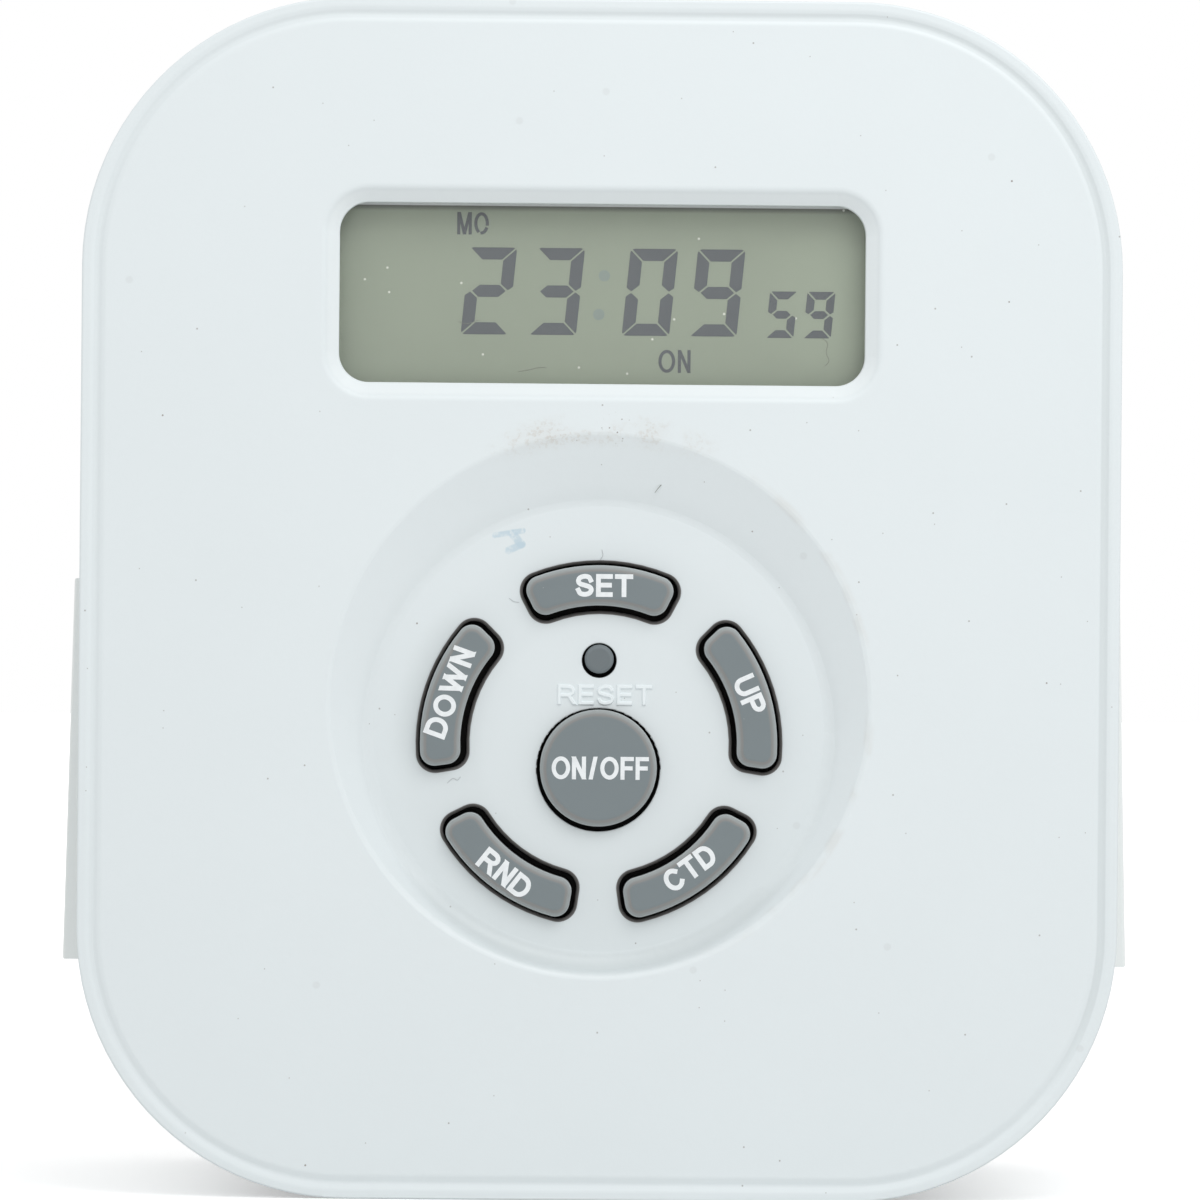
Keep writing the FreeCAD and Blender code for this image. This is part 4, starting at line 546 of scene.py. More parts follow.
def display_film(look):
    """The display's greenish ground: painted shade under its upper edge, painted light towards the right and
    near its upper and lower edges, and dust.
    """
    finish = Finish("display_film")
    cloud = finish.noise(6 * MM, 3.0)
    finish.mottle(cloud, look.film, 0.965, 1.035)
    from_top = finish.maths("SUBTRACT", WINDOW_TOP_Z, finish.axis("Z"))
    from_left = finish.maths("ADD", finish.axis("X"), WINDOW_HALF_WIDTH)
    from_low = finish.past("Z", WINDOW_LOW_Z)
    # Painted light: paler towards the right, near the top and near the lower edge.
    painted_lighter = finish.most(
        finish.ramp(from_left, 25 * MM, 32.5 * MM, 0.0, 0.4),
        finish.fall(from_top, 0.2 * MM, 2.6 * MM, 0.45),
        finish.fall(from_low, 0.0, 2.5 * MM, 0.3),
    )
    finish.lay(painted_lighter, tinted(look.film, 1.35))
    under_top = finish.fall(from_top, 0.1 * MM, 0.5 * MM, 0.85)
    finish.lay(under_top, look.film_shade)
    edge = finish.fall(from_top, 0.06 * MM, 0.1 * MM)
    finish.lay(edge, look.border)
    dust = finish.specks(1.5 * MM, 0.1 * MM, 0.12, True)
    finish.lay(finish.times(dust, 0.9), look.dust)
    weave = finish.noise(0.25 * MM, 2.0, stretch=(0.15, 1.0, 1.0), shift=4.0)
    return finish.set(roughness=0.42, normal=finish.bump(weave, 0.0005 * MM))


def segment_ink(name, base):
    """A switched-on segment: dark, even and a little glossy."""
    finish = Finish(name)
    cloud = finish.noise(1.2 * MM, 2.0)
    finish.mottle(cloud, base, 0.95, 1.05)
    return finish.set(roughness=0.45, normal=finish.bump(cloud, 0.0005 * MM))


def clear_sheet(name, base, alpha, roughness):
    """Clear plastic or glass that lets the light through, with fine wipe marks in its gloss."""
    finish = Finish(name)
    wipes = finish.noise(1.5 * MM, 4.0, 0.6, stretch=(0.2, 1.0, 1.0))
    finish.mottle(wipes, base, 0.97, 1.0)
    gloss = finish.ramp(wipes, 0.3, 0.7, roughness, roughness + 0.08)
    finish.material.surface_render_method = "BLENDED"
    normal = finish.bump(wipes, 0.0005 * MM)
    return finish.set(roughness=gloss, normal=normal, alpha=alpha, specular_ior_level=0.5)


# How a metal's draw marks are stretched where they run along an axis
ALONG_X = (0.06, 1.0, 1.0)
ALONG_Y = (1.0, 0.06, 1.0)
ALONG_Z = (1.0, 1.0, 0.06)


def sheet_metal(name, base, roughness, run, tarnish=(0.30, 0.24, 0.17), amount=0.25):
    """Stamped or drawn metal. run is the stretch of its draw marks, small along their length."""
    finish = Finish(name)
    marks = finish.noise(0.12 * MM, 4.0, 0.65, stretch=run)
    stains = finish.noise(2.5 * MM, 4.0, 0.6, shift=9.0)
    finish.mottle(marks, base, 0.88, 1.06)
    finish.lay(finish.ramp(stains, 0.52, 0.75, 0.0, amount), tarnish)
    gloss = finish.maths("ADD", finish.ramp(marks, 0.25, 0.75, roughness - 0.08, roughness + 0.12),
                         finish.ramp(stains, 0.5, 0.75, 0.0, 0.18))
    return finish.set(metallic=1.0, roughness=gloss, normal=finish.bump(marks, 0.004 * MM))


def cast_resin(name, base, roughness):
    """Dipped or poured resin: glossy, gently uneven, with pin-holes."""
    finish = Finish(name)
    swell = finish.noise(2.5 * MM, 2.0)
    holes = finish.specks(1.1 * MM, 0.08 * MM, 0.2)
    finish.mottle(swell, base, 0.88, 1.12)
    finish.lay(finish.times(holes, 0.5), tinted(base, 0.4))
    gloss = finish.ramp(swell, 0.3, 0.7, roughness, roughness + 0.12)
    return finish.set(roughness=gloss, normal=finish.bump(swell, 0.05 * MM))


TINNED = (0.62, 0.61, 0.57)


def circuit_laminate(name, base):
    """Green circuit board: copper tracks under the lacquer, bare tinned pads and the glass weave."""
    finish = Finish(name)
    weave = finish.noise(0.35 * MM, 1.0, stretch=(1.0, 1.0, 0.3))
    turned = finish.node("Mapping", {"Vector": finish.place, "Rotation": (math.pi / 2, 0.0, 0.0)})
    bricks = {"Vector": turned.outputs[0], "Scale": 1.0 / (9 * MM), "Mortar Size": 0.06, "Row Height": 0.25}
    track = finish.node("TexBrick", {**bricks, "Brick Width": 0.5}, offset=0.5).outputs["Fac"]
    pads = finish.specks(4.2 * MM, 0.55 * MM, 0.5)
    finish.mottle(weave, base, 0.85, 1.15)
    finish.lay(finish.times(track, 0.6), tinted(base, 2.2))
    finish.lay(pads, TINNED)
    gloss = finish.ramp(weave, 0.3, 0.7, 0.28, 0.4)
    normal = finish.bump(finish.maths("ADD", track, pads), 0.03 * MM, finish.bump(weave, 0.008 * MM))
    metal = finish.times(pads, 0.9)
    return finish.set(roughness=gloss, metallic=metal, normal=normal)


def copper_winding(name, base):
    """Enamelled wire wound in layers: fine ridges across the coil's axis."""
    finish = Finish(name)
    place = {"Vector": finish.place, "Scale": 1.0 / (1.3 * MM), "Distortion": 0.3, "Detail": 1.0}
    turns = finish.node("TexWave", place, wave_type="BANDS", bands_direction="Y").outputs["Fac"]
    finish.mottle(turns, base, 0.55, 1.25)
    gloss = finish.ramp(turns, 0.2, 0.8, 0.42, 0.25)
    return finish.set(roughness=gloss, normal=finish.bump(turns, 0.06 * MM), coat_weight=0.4)


def striped_rubber(name, base):
    """Connector rubber: thin black conducting layers between grey ones."""
    finish = Finish(name)
    place = {"Vector": finish.place, "Scale": 1.0 / (1.6 * MM), "Distortion": 0.0}
    layers = finish.node("TexWave", place, wave_type="BANDS", bands_direction="X").outputs["Fac"]
    fine = finish.noise(0.2 * MM, 2.0)
    finish.mottle(finish.ramp(layers, 0.45, 0.55), base, 0.1, 1.4)
    return finish.set(roughness=0.6, normal=finish.bump(fine, 0.005 * MM))


BLACK = (0.022, 0.022, 0.025)


def inner_finishes():
    """One finish for each material slot that isn't the case's, the keys' or the display's.

    Each has its name, colour and roughness, and then what its own function asks for.
    """
    return {
        "white_plastic": moulded("frame_plastic", (0.80, 0.80, 0.775), 0.45, 0.3 * MM, 0.006 * MM),
        "insert_plastic": moulded("insert_plastic_look", (0.76, 0.77, 0.75), 0.5, 0.35 * MM, 0.008 * MM),
        "black_plastic": moulded("black_plastic_look", BLACK, 0.42, 0.3 * MM, 0.008 * MM, 0.15),
        "yellow_plastic": moulded("capacitor_box", (0.70, 0.52, 0.05), 0.38, 0.4 * MM, 0.006 * MM, 0.05),
        "black_resin": cast_resin("chip_resin", (0.015, 0.015, 0.016), 0.28),
        "blue_resin": cast_resin("varistor_resin", (0.04, 0.13, 0.42), 0.22),
        "capacitor_sleeve": moulded("shrink_sleeve", (0.03, 0.04, 0.11), 0.25, 0.6 * MM, 0.01 * MM, 0.1),
        "brown_ceramic": cast_resin("chip_ceramic", (0.33, 0.22, 0.13), 0.4),
        "resistor_body": cast_resin("resistor_lacquer", (0.36, 0.43, 0.34), 0.35),
        "circuit_board": circuit_laminate("board_laminate", (0.03, 0.16, 0.07)),
        "carbon_pads": moulded("carbon_print", (0.018, 0.018, 0.018), 0.55, 0.15 * MM, 0.004 * MM, 0.15),
        "crystal_can": sheet_metal("drawn_can", (0.66, 0.66, 0.67), 0.25, ALONG_X),
        "cell_steel": sheet_metal("cell_can", (0.62, 0.62, 0.63), 0.28, ALONG_X),
        "nickel_strip": sheet_metal("nickel_plate", (0.64, 0.61, 0.56), 0.3, ALONG_Y),
        "screw_steel": sheet_metal("zinc_plate", (0.60, 0.60, 0.62), 0.32, ALONG_Y, (0.42, 0.42, 0.40)),
        "relay_iron": sheet_metal("plated_iron", (0.50, 0.50, 0.51), 0.38, ALONG_Z),
        "contact_brass": sheet_metal("strip_brass", (0.72, 0.53, 0.22), 0.3, ALONG_X),
        "blade_brass": sheet_metal("blade_nickel", (0.74, 0.69, 0.58), 0.22, ALONG_Y),
        "coil_copper": copper_winding("winding", (0.45, 0.15, 0.05)),
    }


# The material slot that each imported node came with
SLOT_OF = {name: piece.material_slots[0].material.name for name, piece in NODES.items()}


def wear(node, material):
    """Puts a finish on every slot of a frame node."""
    for slot in NODES[node].material_slots:
        slot.material = material


def piece_from(name, solids, material, body):
    """A mesh object from several (points, skin), that rides on a body and wears the given finish.

    A skin is a list of arrays of faces. Each solid's corner numbers are raised by the points before it.
    """
    faces, start = [], 0
    for points, skin in solids:
        for same_sided in skin:
            faces += (same_sided + start).tolist()
        start += len(points)
    mesh = bpy.data.meshes.new(name)
    mesh.from_pydata(np.vstack([points for points, skin in solids]).tolist(), [], faces)
    mesh.materials.append(material)
    mesh.update()
    piece = bpy.data.objects.new(name, mesh)
    bpy.context.scene.collection.objects.link(piece)
    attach(piece, body)
    return piece


def closed_tube(rings):
    """A closed skin over an array of rings with shape (rings, points, 3), with flat ends."""
    count, around = rings.shape[:2]
    index = np.arange(count * around).reshape(count, around)
    after = np.roll(index, -1, axis=1)
    sides = np.stack([index[:-1], index[1:], after[1:], after[:-1]], axis=-1).reshape(-1, 4)
    return [sides, index[:1], index[-1:, ::-1]]


def closed_loop(rings):
    """A skin over rings that follow each other in a loop."""
    index = np.arange(rings.shape[0] * rings.shape[1]).reshape(rings.shape[:2])
    following = np.roll(index, -1, axis=0)
    faces = np.stack([index, following, np.roll(following, -1, axis=1), np.roll(index, -1, axis=1)], axis=-1)
    return [faces.reshape(-1, 4)]


def prism(outline, front, back):
    """A flat-faced plate: the outline, an array of (x, z) points turning left, carried from front to back."""
    turned_right = outline[::-1]
    rings = np.stack([np.insert(turned_right, 1, y, axis=1) for y in (back, front)])
    return rings.reshape(-1, 3), closed_tube(rings)


# The least divisor of a mitre, which keeps a very sharp bend from reaching far
SHARPEST_BEND = 0.28


def band(path, width, foot, closed, limits, front, back):
    """A stroke of a letter: a flat bar along the path, with mitred bends and square ends.

    Each point goes to path +- m * width / 2, where m is the sum of the two sides' normals over one plus
    their product. The back is wider by foot on each side. Heights are cut off at the two limits.
    """
    if closed:
        after = np.roll(path, -1, axis=0) - path
        before = np.roll(after, 1, axis=0)
    else:
        steps = np.diff(path, axis=0)
        after = np.vstack([steps, steps[-1:]])
        before = np.vstack([steps[:1], steps])
    after = after / np.linalg.norm(after, axis=1, keepdims=True)
    before = before / np.linalg.norm(before, axis=1, keepdims=True)
    line = path.copy()
    if not closed:
        line[0] -= before[0] * width / 2
        line[-1] += after[-1] * width / 2
    sides = [np.stack([-step[:, 1], step[:, 0]], axis=1) for step in (before, after)]
    product = np.sum(sides[0] * sides[1], axis=1, keepdims=True)
    mitre = (sides[0] + sides[1]) / np.maximum(1.0 + product, SHARPEST_BEND)
    half, base = width / 2, width / 2 + foot
    corners = []
    for side, reach, y in ((1, half, front), (1, base, back), (-1, base, back), (-1, half, front)):
        edge = line + side * mitre * reach
        edge[:, 1] = np.clip(edge[:, 1], *limits)
        corners.append(np.insert(edge, 1, y, axis=1))
    rings = np.stack(corners, axis=1)
    return rings.reshape(-1, 3), closed_loop(rings) if closed else closed_tube(rings)


def slanted_bar(path, width, foot, front, back):
    """A straight stroke of a letter from a point down to a lower one, with both ends cut off level.

    Its sides lie at x(z) +- width / 2 * sqrt(1 + lean^2), where lean is dx / dz. The back is wider by foot.
    """
    (x0, z0), (x1, z1) = path
    lean = (x1 - x0) / (z1 - z0)
    rings = []
    for extra, y in ((foot, back), (0.0, front)):
        reach = width / 2 + extra
        half = reach * math.hypot(1.0, lean)
        top, low = z0 + reach, z1 - reach
        x_top, x_low = x0 + lean * reach, x1 - lean * reach
        spots = ((x_low + half, low), (x_low - half, low), (x_top - half, top), (x_top + half, top))
        rings.append([(x, y, z) for x, z in spots])
    rings = np.array(rings)
    return rings.reshape(-1, 3), closed_tube(rings)


def bow(centre, reach, first, last, count=9):
    """Points of an ellipse's arc from the first to the last angle, in degrees: centre + reach * (cos, sin).

    reach is a circle's radius, or the ellipse's two half widths.
    """
    angle = np.radians(np.linspace(first, last, count))
    return np.array(centre) + np.stack([np.cos(angle), np.sin(angle)], axis=1) * reach


# The lit segments of each digit, by the letters of segment_outlines
SEGMENTS_OF = {"0": "abcdef", "2": "abged", "3": "abgcd", "5": "afgcd", "9": "abcdfg"}
CORNER_ROUNDING = 0.36


def segment_outlines(width, height, stroke, gap):
    """The seven outlines of a digit whose lower left corner is at (0, 0), each turning left.

    a top, b and c right, d bottom, e and f left, g middle. Outer corners are rounded. Ends that meet at a
    corner are cut on its diagonal. The middle bar has pointed ends, and the upright bars end in points there.
    """
    half = height / 2
    clear = gap / math.sqrt(2)
    round_by = CORNER_ROUNDING * stroke
    spread = math.degrees(gap / 2 / round_by)
    bend = (round_by, height - round_by)
    top_left = bow(bend, round_by, 90.0, 135.0 - spread, 6)
    top = np.vstack([
        [[stroke + clear, height - stroke], [width - stroke - clear, height - stroke]],
        (np.array([[width, 0.0]]) + top_left * [[-1.0, 1.0]])[::-1],
        top_left,
    ])
    tip = stroke / 2
    upper_left = np.vstack([
        bow(bend, round_by, 135.0 + spread, 180.0, 6),
        [[0.0, half + CORNER_ROUNDING * stroke], [0.4 * stroke, half + gap / 2], [stroke, half + tip + clear],
         [stroke, height - stroke - clear]],
    ])
    reach = 0.42 * stroke + gap
    middle = np.array([
        [reach, half], [stroke + clear, half - tip], [width - stroke - clear, half - tip],
        [width - reach, half], [width - stroke - clear, half + tip], [stroke + clear, half + tip],
    ])

    def flipped(outline, across, upright):
        """The outline mirrored left to right, top to bottom, or both, still turning left."""
        spots = outline.copy()
        if across:
            spots[:, 0] = width - spots[:, 0]
        if upright:
            spots[:, 1] = height - spots[:, 1]
        return spots if across == upright else spots[::-1]

    return {
        "a": top,
        "b": flipped(upper_left, True, False),
        "c": flipped(upper_left, True, True),
        "d": flipped(top, False, True),
        "e": flipped(upper_left, False, True),
        "f": upper_left,
        "g": middle,
    }


def lcd_digit(character, left, low, size, look, front, back):
    """The lit segments of a digit as thin plates, leaning by the look's slant.

    size is its width and height, and the width of its upright and of its level segments. The outlines are
    made with segments as wide as the level ones and then widened.
    """
    width, height, upright, level = size
    widen = upright / level
    outlines = segment_outlines(width / widen, height, level, look.gap)
    solids = []
    for letter in SEGMENTS_OF[character]:
        spots = outlines[letter] * [widen, 1.0]
        spots[:, 0] += left + spots[:, 1] * math.tan(look.slant)
        spots[:, 1] += low
        solids.append(prism(spots, front, back))
    return solids


def smooth_line(points, count=5):
    """A smooth line through all points: on each stretch, half of the cubic through it and its neighbours."""
    spots = np.array(points)
    ends = np.vstack([2 * spots[0] - spots[1], spots, 2 * spots[-1] - spots[-2]])
    t = np.linspace(0.0, 1.0, count, endpoint=False)[:, None]
    parts = []
    for p0, p1, p2, p3 in zip(ends[:-3], ends[1:-2], ends[2:-1], ends[3:]):
        curve = 2 * p1 + (p2 - p0) * t + (2 * p0 - 5 * p1 + 4 * p2 - p3) * t**2
        parts.append((curve + (3 * p1 - p0 - 3 * p2 + p3) * t**3) / 2)
    return np.vstack([*parts, spots[-1:]])


def lines(*points):
    """A line of straight pieces."""
    return np.array(points, float)


S_LINE = smooth_line([
    (0.93, 0.79), (0.80, 0.95), (0.50, 1.0), (0.15, 0.92), (0.03, 0.74), (0.15, 0.59), (0.50, 0.505),
    (0.86, 0.41), (0.98, 0.25), (0.84, 0.07), (0.50, 0.0), (0.17, 0.06), (0.03, 0.23),
])
P_BOWL = np.vstack([lines((0.0, 1.0)), bow((0.58, 0.735), (0.42, 0.265), 90.0, -90.0), lines((0.0, 0.47))])
D_LINE = np.vstack([lines((0.0, 0.0)), bow((0.46, 0.5), (0.54, 0.5), -90.0, 90.0, 15), lines((0.0, 1.0))])
U_LINE = np.vstack([lines((0.0, 1.0)), bow((0.5, 0.36), (0.5, 0.36), 180.0, 360.0, 15), lines((1.0, 1.0))])
LEFT_STEM = (lines((0.0, 0.0), (0.0, 1.0)), "open")
RIGHT_STEM = (lines((1.0, 0.0), (1.0, 1.0)), "open")

# Each capital: its width over its height, and its strokes as (line, kind). A line runs in a unit square.
# A slant runs downwards and is cut off level. The small o is an O whose lower right piece stands apart.
LETTERS = {
    "C": (0.95, [(bow((0.52, 0.5), (0.52, 0.5), 42.0, 318.0, 21), "open")]),
    "D": (0.88, [(D_LINE, "closed")]),
    "E": (0.77, [(lines((1.0, 1.0), (0.0, 1.0), (0.0, 0.0), (1.0, 0.0)), "open"),
                 (lines((0.0, 0.52), (0.92, 0.52)), "open")]),
    "F": (0.72, [(lines((1.0, 1.0), (0.0, 1.0), (0.0, 0.0)), "open"),
                 (lines((0.0, 0.50), (0.88, 0.50)), "open")]),
    "M": (1.00, [LEFT_STEM, RIGHT_STEM, (lines((0.07, 1.0), (0.48, 0.0)), "slant"),
                 (lines((0.93, 1.0), (0.52, 0.0)), "slant")]),
    "N": (0.76, [LEFT_STEM, RIGHT_STEM, (lines((0.05, 1.0), (0.95, 0.0)), "slant")]),
    "O": (1.00, [(bow((0.5, 0.5), 0.5, 0.0, 352.5, 48), "closed")]),
    "o": (1.00, [(bow((0.5, 0.5), 0.5, -4.0, 232.0, 32), "open"),
                 (bow((0.5, 0.5), 0.5, -85.0, -35.0, 8), "open")]),
    "P": (0.80, [LEFT_STEM, (P_BOWL, "open")]),
    "R": (0.88, [LEFT_STEM, (P_BOWL * [0.95, 1.0], "open"), (lines((0.62, 0.47), (0.98, 0.0)), "slant")]),
    "S": (0.84, [(S_LINE, "open")]),
    "T": (0.84, [(lines((0.0, 1.0), (1.0, 1.0)), "open"), (lines((0.5, 0.0), (0.5, 1.0)), "open")]),
    "U": (0.85, [(U_LINE, "open")]),
    "W": (1.30, [(lines((0.0, 1.0), (0.25, 0.0)), "slant"), (lines((0.5, 1.0), (0.25, 0.0)), "slant"),
                 (lines((0.5, 1.0), (0.75, 0.0)), "slant"), (lines((1.0, 1.0), (0.75, 0.0)), "slant")]),
    "/": (0.58, [(lines((0.8, 1.0), (0.2, 0.0)), "slant")]),
}

# How much deeper each further stroke of a letter lies
LAYER = 0.0015 * MM


def word_solids(word, centre, width, height, angle, stroke, spacing, front, back, foot=0.0):
    """The strokes of a word as thin bars, its middle at centre (x, z), turned by the angle in degrees.

    The letters keep their own widths in proportion, and spacing lies between them, over the letters' height.
    The strokes of a letter overlap, so each lies a little deeper than the one before.
    """
    natural = sum(LETTERS[letter][0] for letter in word) + spacing * (len(word) - 1)
    scale = width / natural
    cosine, sine = math.cos(math.radians(angle)), math.sin(math.radians(angle))
    limits = (-height / 2 - foot, height / 2 + foot)
    solids = []
    left = -width / 2
    for letter in word:
        across, strokes = LETTERS[letter]
        inner = np.array([across * scale - stroke, height - stroke])
        for order, (line, kind) in enumerate(strokes):
            path = line * inner + [left + stroke / 2, (stroke - height) / 2]
            top = front + order * LAYER
            if kind == "slant":
                points, faces = slanted_bar(path, stroke, foot, top, back)
            else:
                points, faces = band(path, stroke, foot, kind == "closed", limits, top, back)
            x, z = points[:, 0].copy(), points[:, 2].copy()
            points[:, 0] = centre[0] + x * cosine - z * sine
            points[:, 2] = centre[1] + x * sine + z * cosine
            solids.append((points, faces))
        left += (across + spacing) * scale
    return solids


def fibre(path, radius, front):
    """A lint fibre: a five-sided tube along a smooth line through (x, z) points, lying on y = front.

    Each point of the line is averaged six times with its neighbours. Round each lies a ring, at radius *
    cos(angle) to its side and radius * (1 + sin(angle)) in front of the surface.
    """
    spots = np.array(path)
    steps = np.linspace(0.0, len(spots) - 1.0, 6 * len(spots))
    smooth = np.stack([np.interp(steps, np.arange(len(spots)), spots[:, k]) for k in (0, 1)], axis=1)
    kernel = np.array([0.25, 0.5, 0.25])
    for _ in range(6):
        padded = np.vstack([smooth[:1], smooth, smooth[-1:]])
        smooth = np.stack([np.convolve(padded[:, k], kernel, mode="valid") for k in (0, 1)], axis=1)
    along = np.gradient(smooth, axis=0)
    along = along / np.linalg.norm(along, axis=1, keepdims=True)
    side = np.stack([along[:, 1], -along[:, 0]], axis=1)
    angle = np.linspace(0.0, 2 * math.pi, 5, endpoint=False)
    across = np.cos(angle)[None, :, None] * side[:, None, :] * radius
    middle = smooth[:, None, :] + across
    depth = front - radius * (1.0 + np.sin(angle))
    rings = np.stack([middle[..., 0], np.broadcast_to(depth, middle.shape[:2]), middle[..., 1]], axis=-1)
    return rings.reshape(-1, 3), closed_tube(rings)


def settings():
    """The sizes and colours that the user set."""
    return bpy.context.scene.timer_settings


# The raised word's middle on the face, and the share of the letters' height that lies between them
RESET_WORD_CENTRE = (0.39 * MM, -5.95 * MM)
RESET_WORD_SPACING = 0.19


class TIMER_OT_case(bpy.types.Operator):
    """Dress both case shells and raise the word under the small key"""

    bl_idname = "timer.case"
    bl_label = "Case"

    def execute(self, context):
        look = settings().case
        wear("front_shell", case_plastic(look, True))
        wear("rear_shell", case_plastic(look, False))
        # Painted light: the raised letters are a paler copy of the case plastic.
        painted_lighter = tinted(look.plastic, 1.07)
        raised = moulded("raised_plastic", painted_lighter, 0.4, look.grain, look.grain_height, 0.01)
        solids = word_solids(
            "RESET", RESET_WORD_CENTRE, look.word_width, look.word_height, 0.0, look.word_stroke,
            RESET_WORD_SPACING, DISH_FLOOR_Y - look.word_rise, DISH_FLOOR_Y + 0.01 * MM, look.word_foot,
        )
        piece_from("reset_word", solids, raised, "case")
        return {"FINISHED"}


# Each printed word: its letters, its middle (x, z) and its width in millimetres, and its turn in degrees
KEY_WORDS = {
    "set_key": ("SET", (0.27, 0.91), 3.6, 0.0),
    "up_key": ("UP", (9.43, -5.86), 2.45, -66.0),
    "down_key": ("DOWN", (-9.36, -5.86), 5.8, 70.5),
    "random_key": ("RND", (-5.78, -17.16), 3.7, -38.3),
    "countdown_key": ("CTD", (5.74, -16.73), 3.6, 36.5),
    "on_off_key": ("ON/OFF", (0.11, -10.51), 6.08, 0.0),
}
KEY_WORD_SPACING = 0.095


class TIMER_OT_keys(bpy.types.Operator):
    """Dress the rubber keys, their domes and mat, and print the words on the keys"""

    bl_idname = "timer.keys"
    bl_label = "Keys"

    def execute(self, context):
        look = settings().keys
        rubber = key_rubber("key_rubber", look, KEY_TOP_Y, look.rubber, look.edge_start_light, look.edge)
        # Painted light on the small key's rounded edge.
        small_edge_light = tinted(look.reset, 1.12)
        small = key_rubber("reset_rubber", look, RESET_TOP_Y, look.reset, small_edge_light, small_edge_light)
        for node in NODES:
            if SLOT_OF[node] == "grey_rubber":
                wear(node, small if node == "reset_key" else rubber)
        wear("zebra_strips", striped_rubber("connector_rubber", look.rubber))
        white = ink("white_ink", look.print_colour)
        for key, (text, (x, z), width, angle) in KEY_WORDS.items():
            stroke = look.round_stroke if key == "on_off_key" else look.print_stroke
            solids = word_solids(
                text, (x * MM, z * MM), width * MM, look.print_height, angle, stroke,
                KEY_WORD_SPACING, KEY_TOP_Y - look.print_rise, KEY_TOP_Y,
            )
            piece_from(key + "_word", solids, white, key + "_body")
        return {"FINISHED"}


# Each digit's left end and each row's lower edge, in millimetres
LARGE_DIGITS = {"2": -8.86, "3": -4.6, "0": 1.25, "9": 5.48}
SMALL_DIGITS = {"5": 10.27, "9": 12.62}
LARGE_LOW_Z = 16.61
SMALL_LOW_Z = 16.55

# The display's small words, as (piece, letters, middle x and z, width, height), in millimetres
SMALL_WORDS = (
    ("day_word", "Mo", -8.14, 23.57, 1.99, 1.40),
    ("state_word", "ON", 4.58, 15.02, 2.02, 1.44),
)
SMALL_WORD_SPACING = 0.16

# The colon's two dots, as (x, z, radius), in millimetres
COLON_DOTS = ((0.13, 20.36, 0.36), (-0.2, 17.92, 0.36))
SEGMENT_RISE = 0.02 * MM


class TIMER_OT_display(bpy.types.Operator):
    """Dress the display, its clear window and its lit segments"""

    bl_idname = "timer.display"
    bl_label = "Display"

    def execute(self, context):
        look = settings().display
        wear("lcd_polariser", display_film(look))
        wear("lcd_panel", clear_sheet("display_glass", look.glass, 0.9, 0.08))
        wear("display_window", clear_sheet("window_plastic", look.pane, 0.05, 0.04))
        dark = segment_ink("segment_look", look.segment)
        front, back = FILM_FRONT_Y - SEGMENT_RISE, FILM_FRONT_Y
        large = (look.digit_width, look.digit_height, look.digit_stroke, look.bar_stroke)
        small = (look.small_width, look.small_height, look.small_stroke, look.small_bar)
        for name, places, low, size in (
            ("time_digits", LARGE_DIGITS, LARGE_LOW_Z, large),
            ("second_digits", SMALL_DIGITS, SMALL_LOW_Z, small),
        ):
            solids = []
            for character, left in places.items():
                solids += lcd_digit(character, left * MM, low * MM, size, look, front, back)
            piece_from(name, solids, dark, "case")
        self.words(look, dark, front, back)
        return {"FINISHED"}

    def words(self, look, dark, front, back):
        """The day and the state of the outlet, in narrow capitals, and the nearly dark colon."""
        for name, word, x, z, width, height in SMALL_WORDS:
            solids = word_solids(
                word, (x * MM, z * MM), width * MM, height * MM, 0.0, look.word_stroke,
                SMALL_WORD_SPACING, front, back,
            )
            piece_from(name, solids, dark, "case")
        ghost = segment_ink("ghost_look", look.ghost)
        dots = [
            prism(bow((x * MM, z * MM), radius * MM, 0.0, 345.0, 24), front, back)
            for x, z, radius in COLON_DOTS
        ]
        piece_from("colon_dots", dots, ghost, "case")


class TIMER_OT_inside(bpy.types.Operator):
    """Dress the boards, relay, parts, contacts, plug and screws"""

    bl_idname = "timer.inside"
    bl_label = "Plug, contacts and boards"

    def execute(self, context):
        finishes = inner_finishes()
        for node in NODES:
            if SLOT_OF[node] in finishes:
                wear(node, finishes[SLOT_OF[node]])
        return {"FINISHED"}


# The paths of the lint fibres, as (x, z) points, in millimetres
WINDOW_FIBRES = [
    [(-5.3, 14.25), (-4.6, 14.35), (-3.9, 14.55), (-3.4, 14.5)],
    [(13.7, 16.6), (14.2, 16.2), (14.0, 15.6), (14.3, 15.1), (13.9, 14.7)],
    [(-9.1, 17.4), (-8.6, 17.2), (-8.1, 17.3), (-7.7, 17.5)],
]
DISH_FIBRES = [
    [(-5.7, 0.1), (-5.4, -0.15), (-5.0, -0.2)],
    [(-9.5, -11.6), (-9.1, -11.2), (-8.8, -11.4), (-8.6, -11.1)],
    [(0.1, 3.2), (0.2, 2.8), (0.0, 2.5)],
]
SLOPE_FIBRES = [[(3.36, 6.7), (3.52, 6.95), (3.82, 7.28)]]
SLOPE_OVER_FLOOR = 0.64 * MM
FIBRE_RADIUS = 0.02 * MM


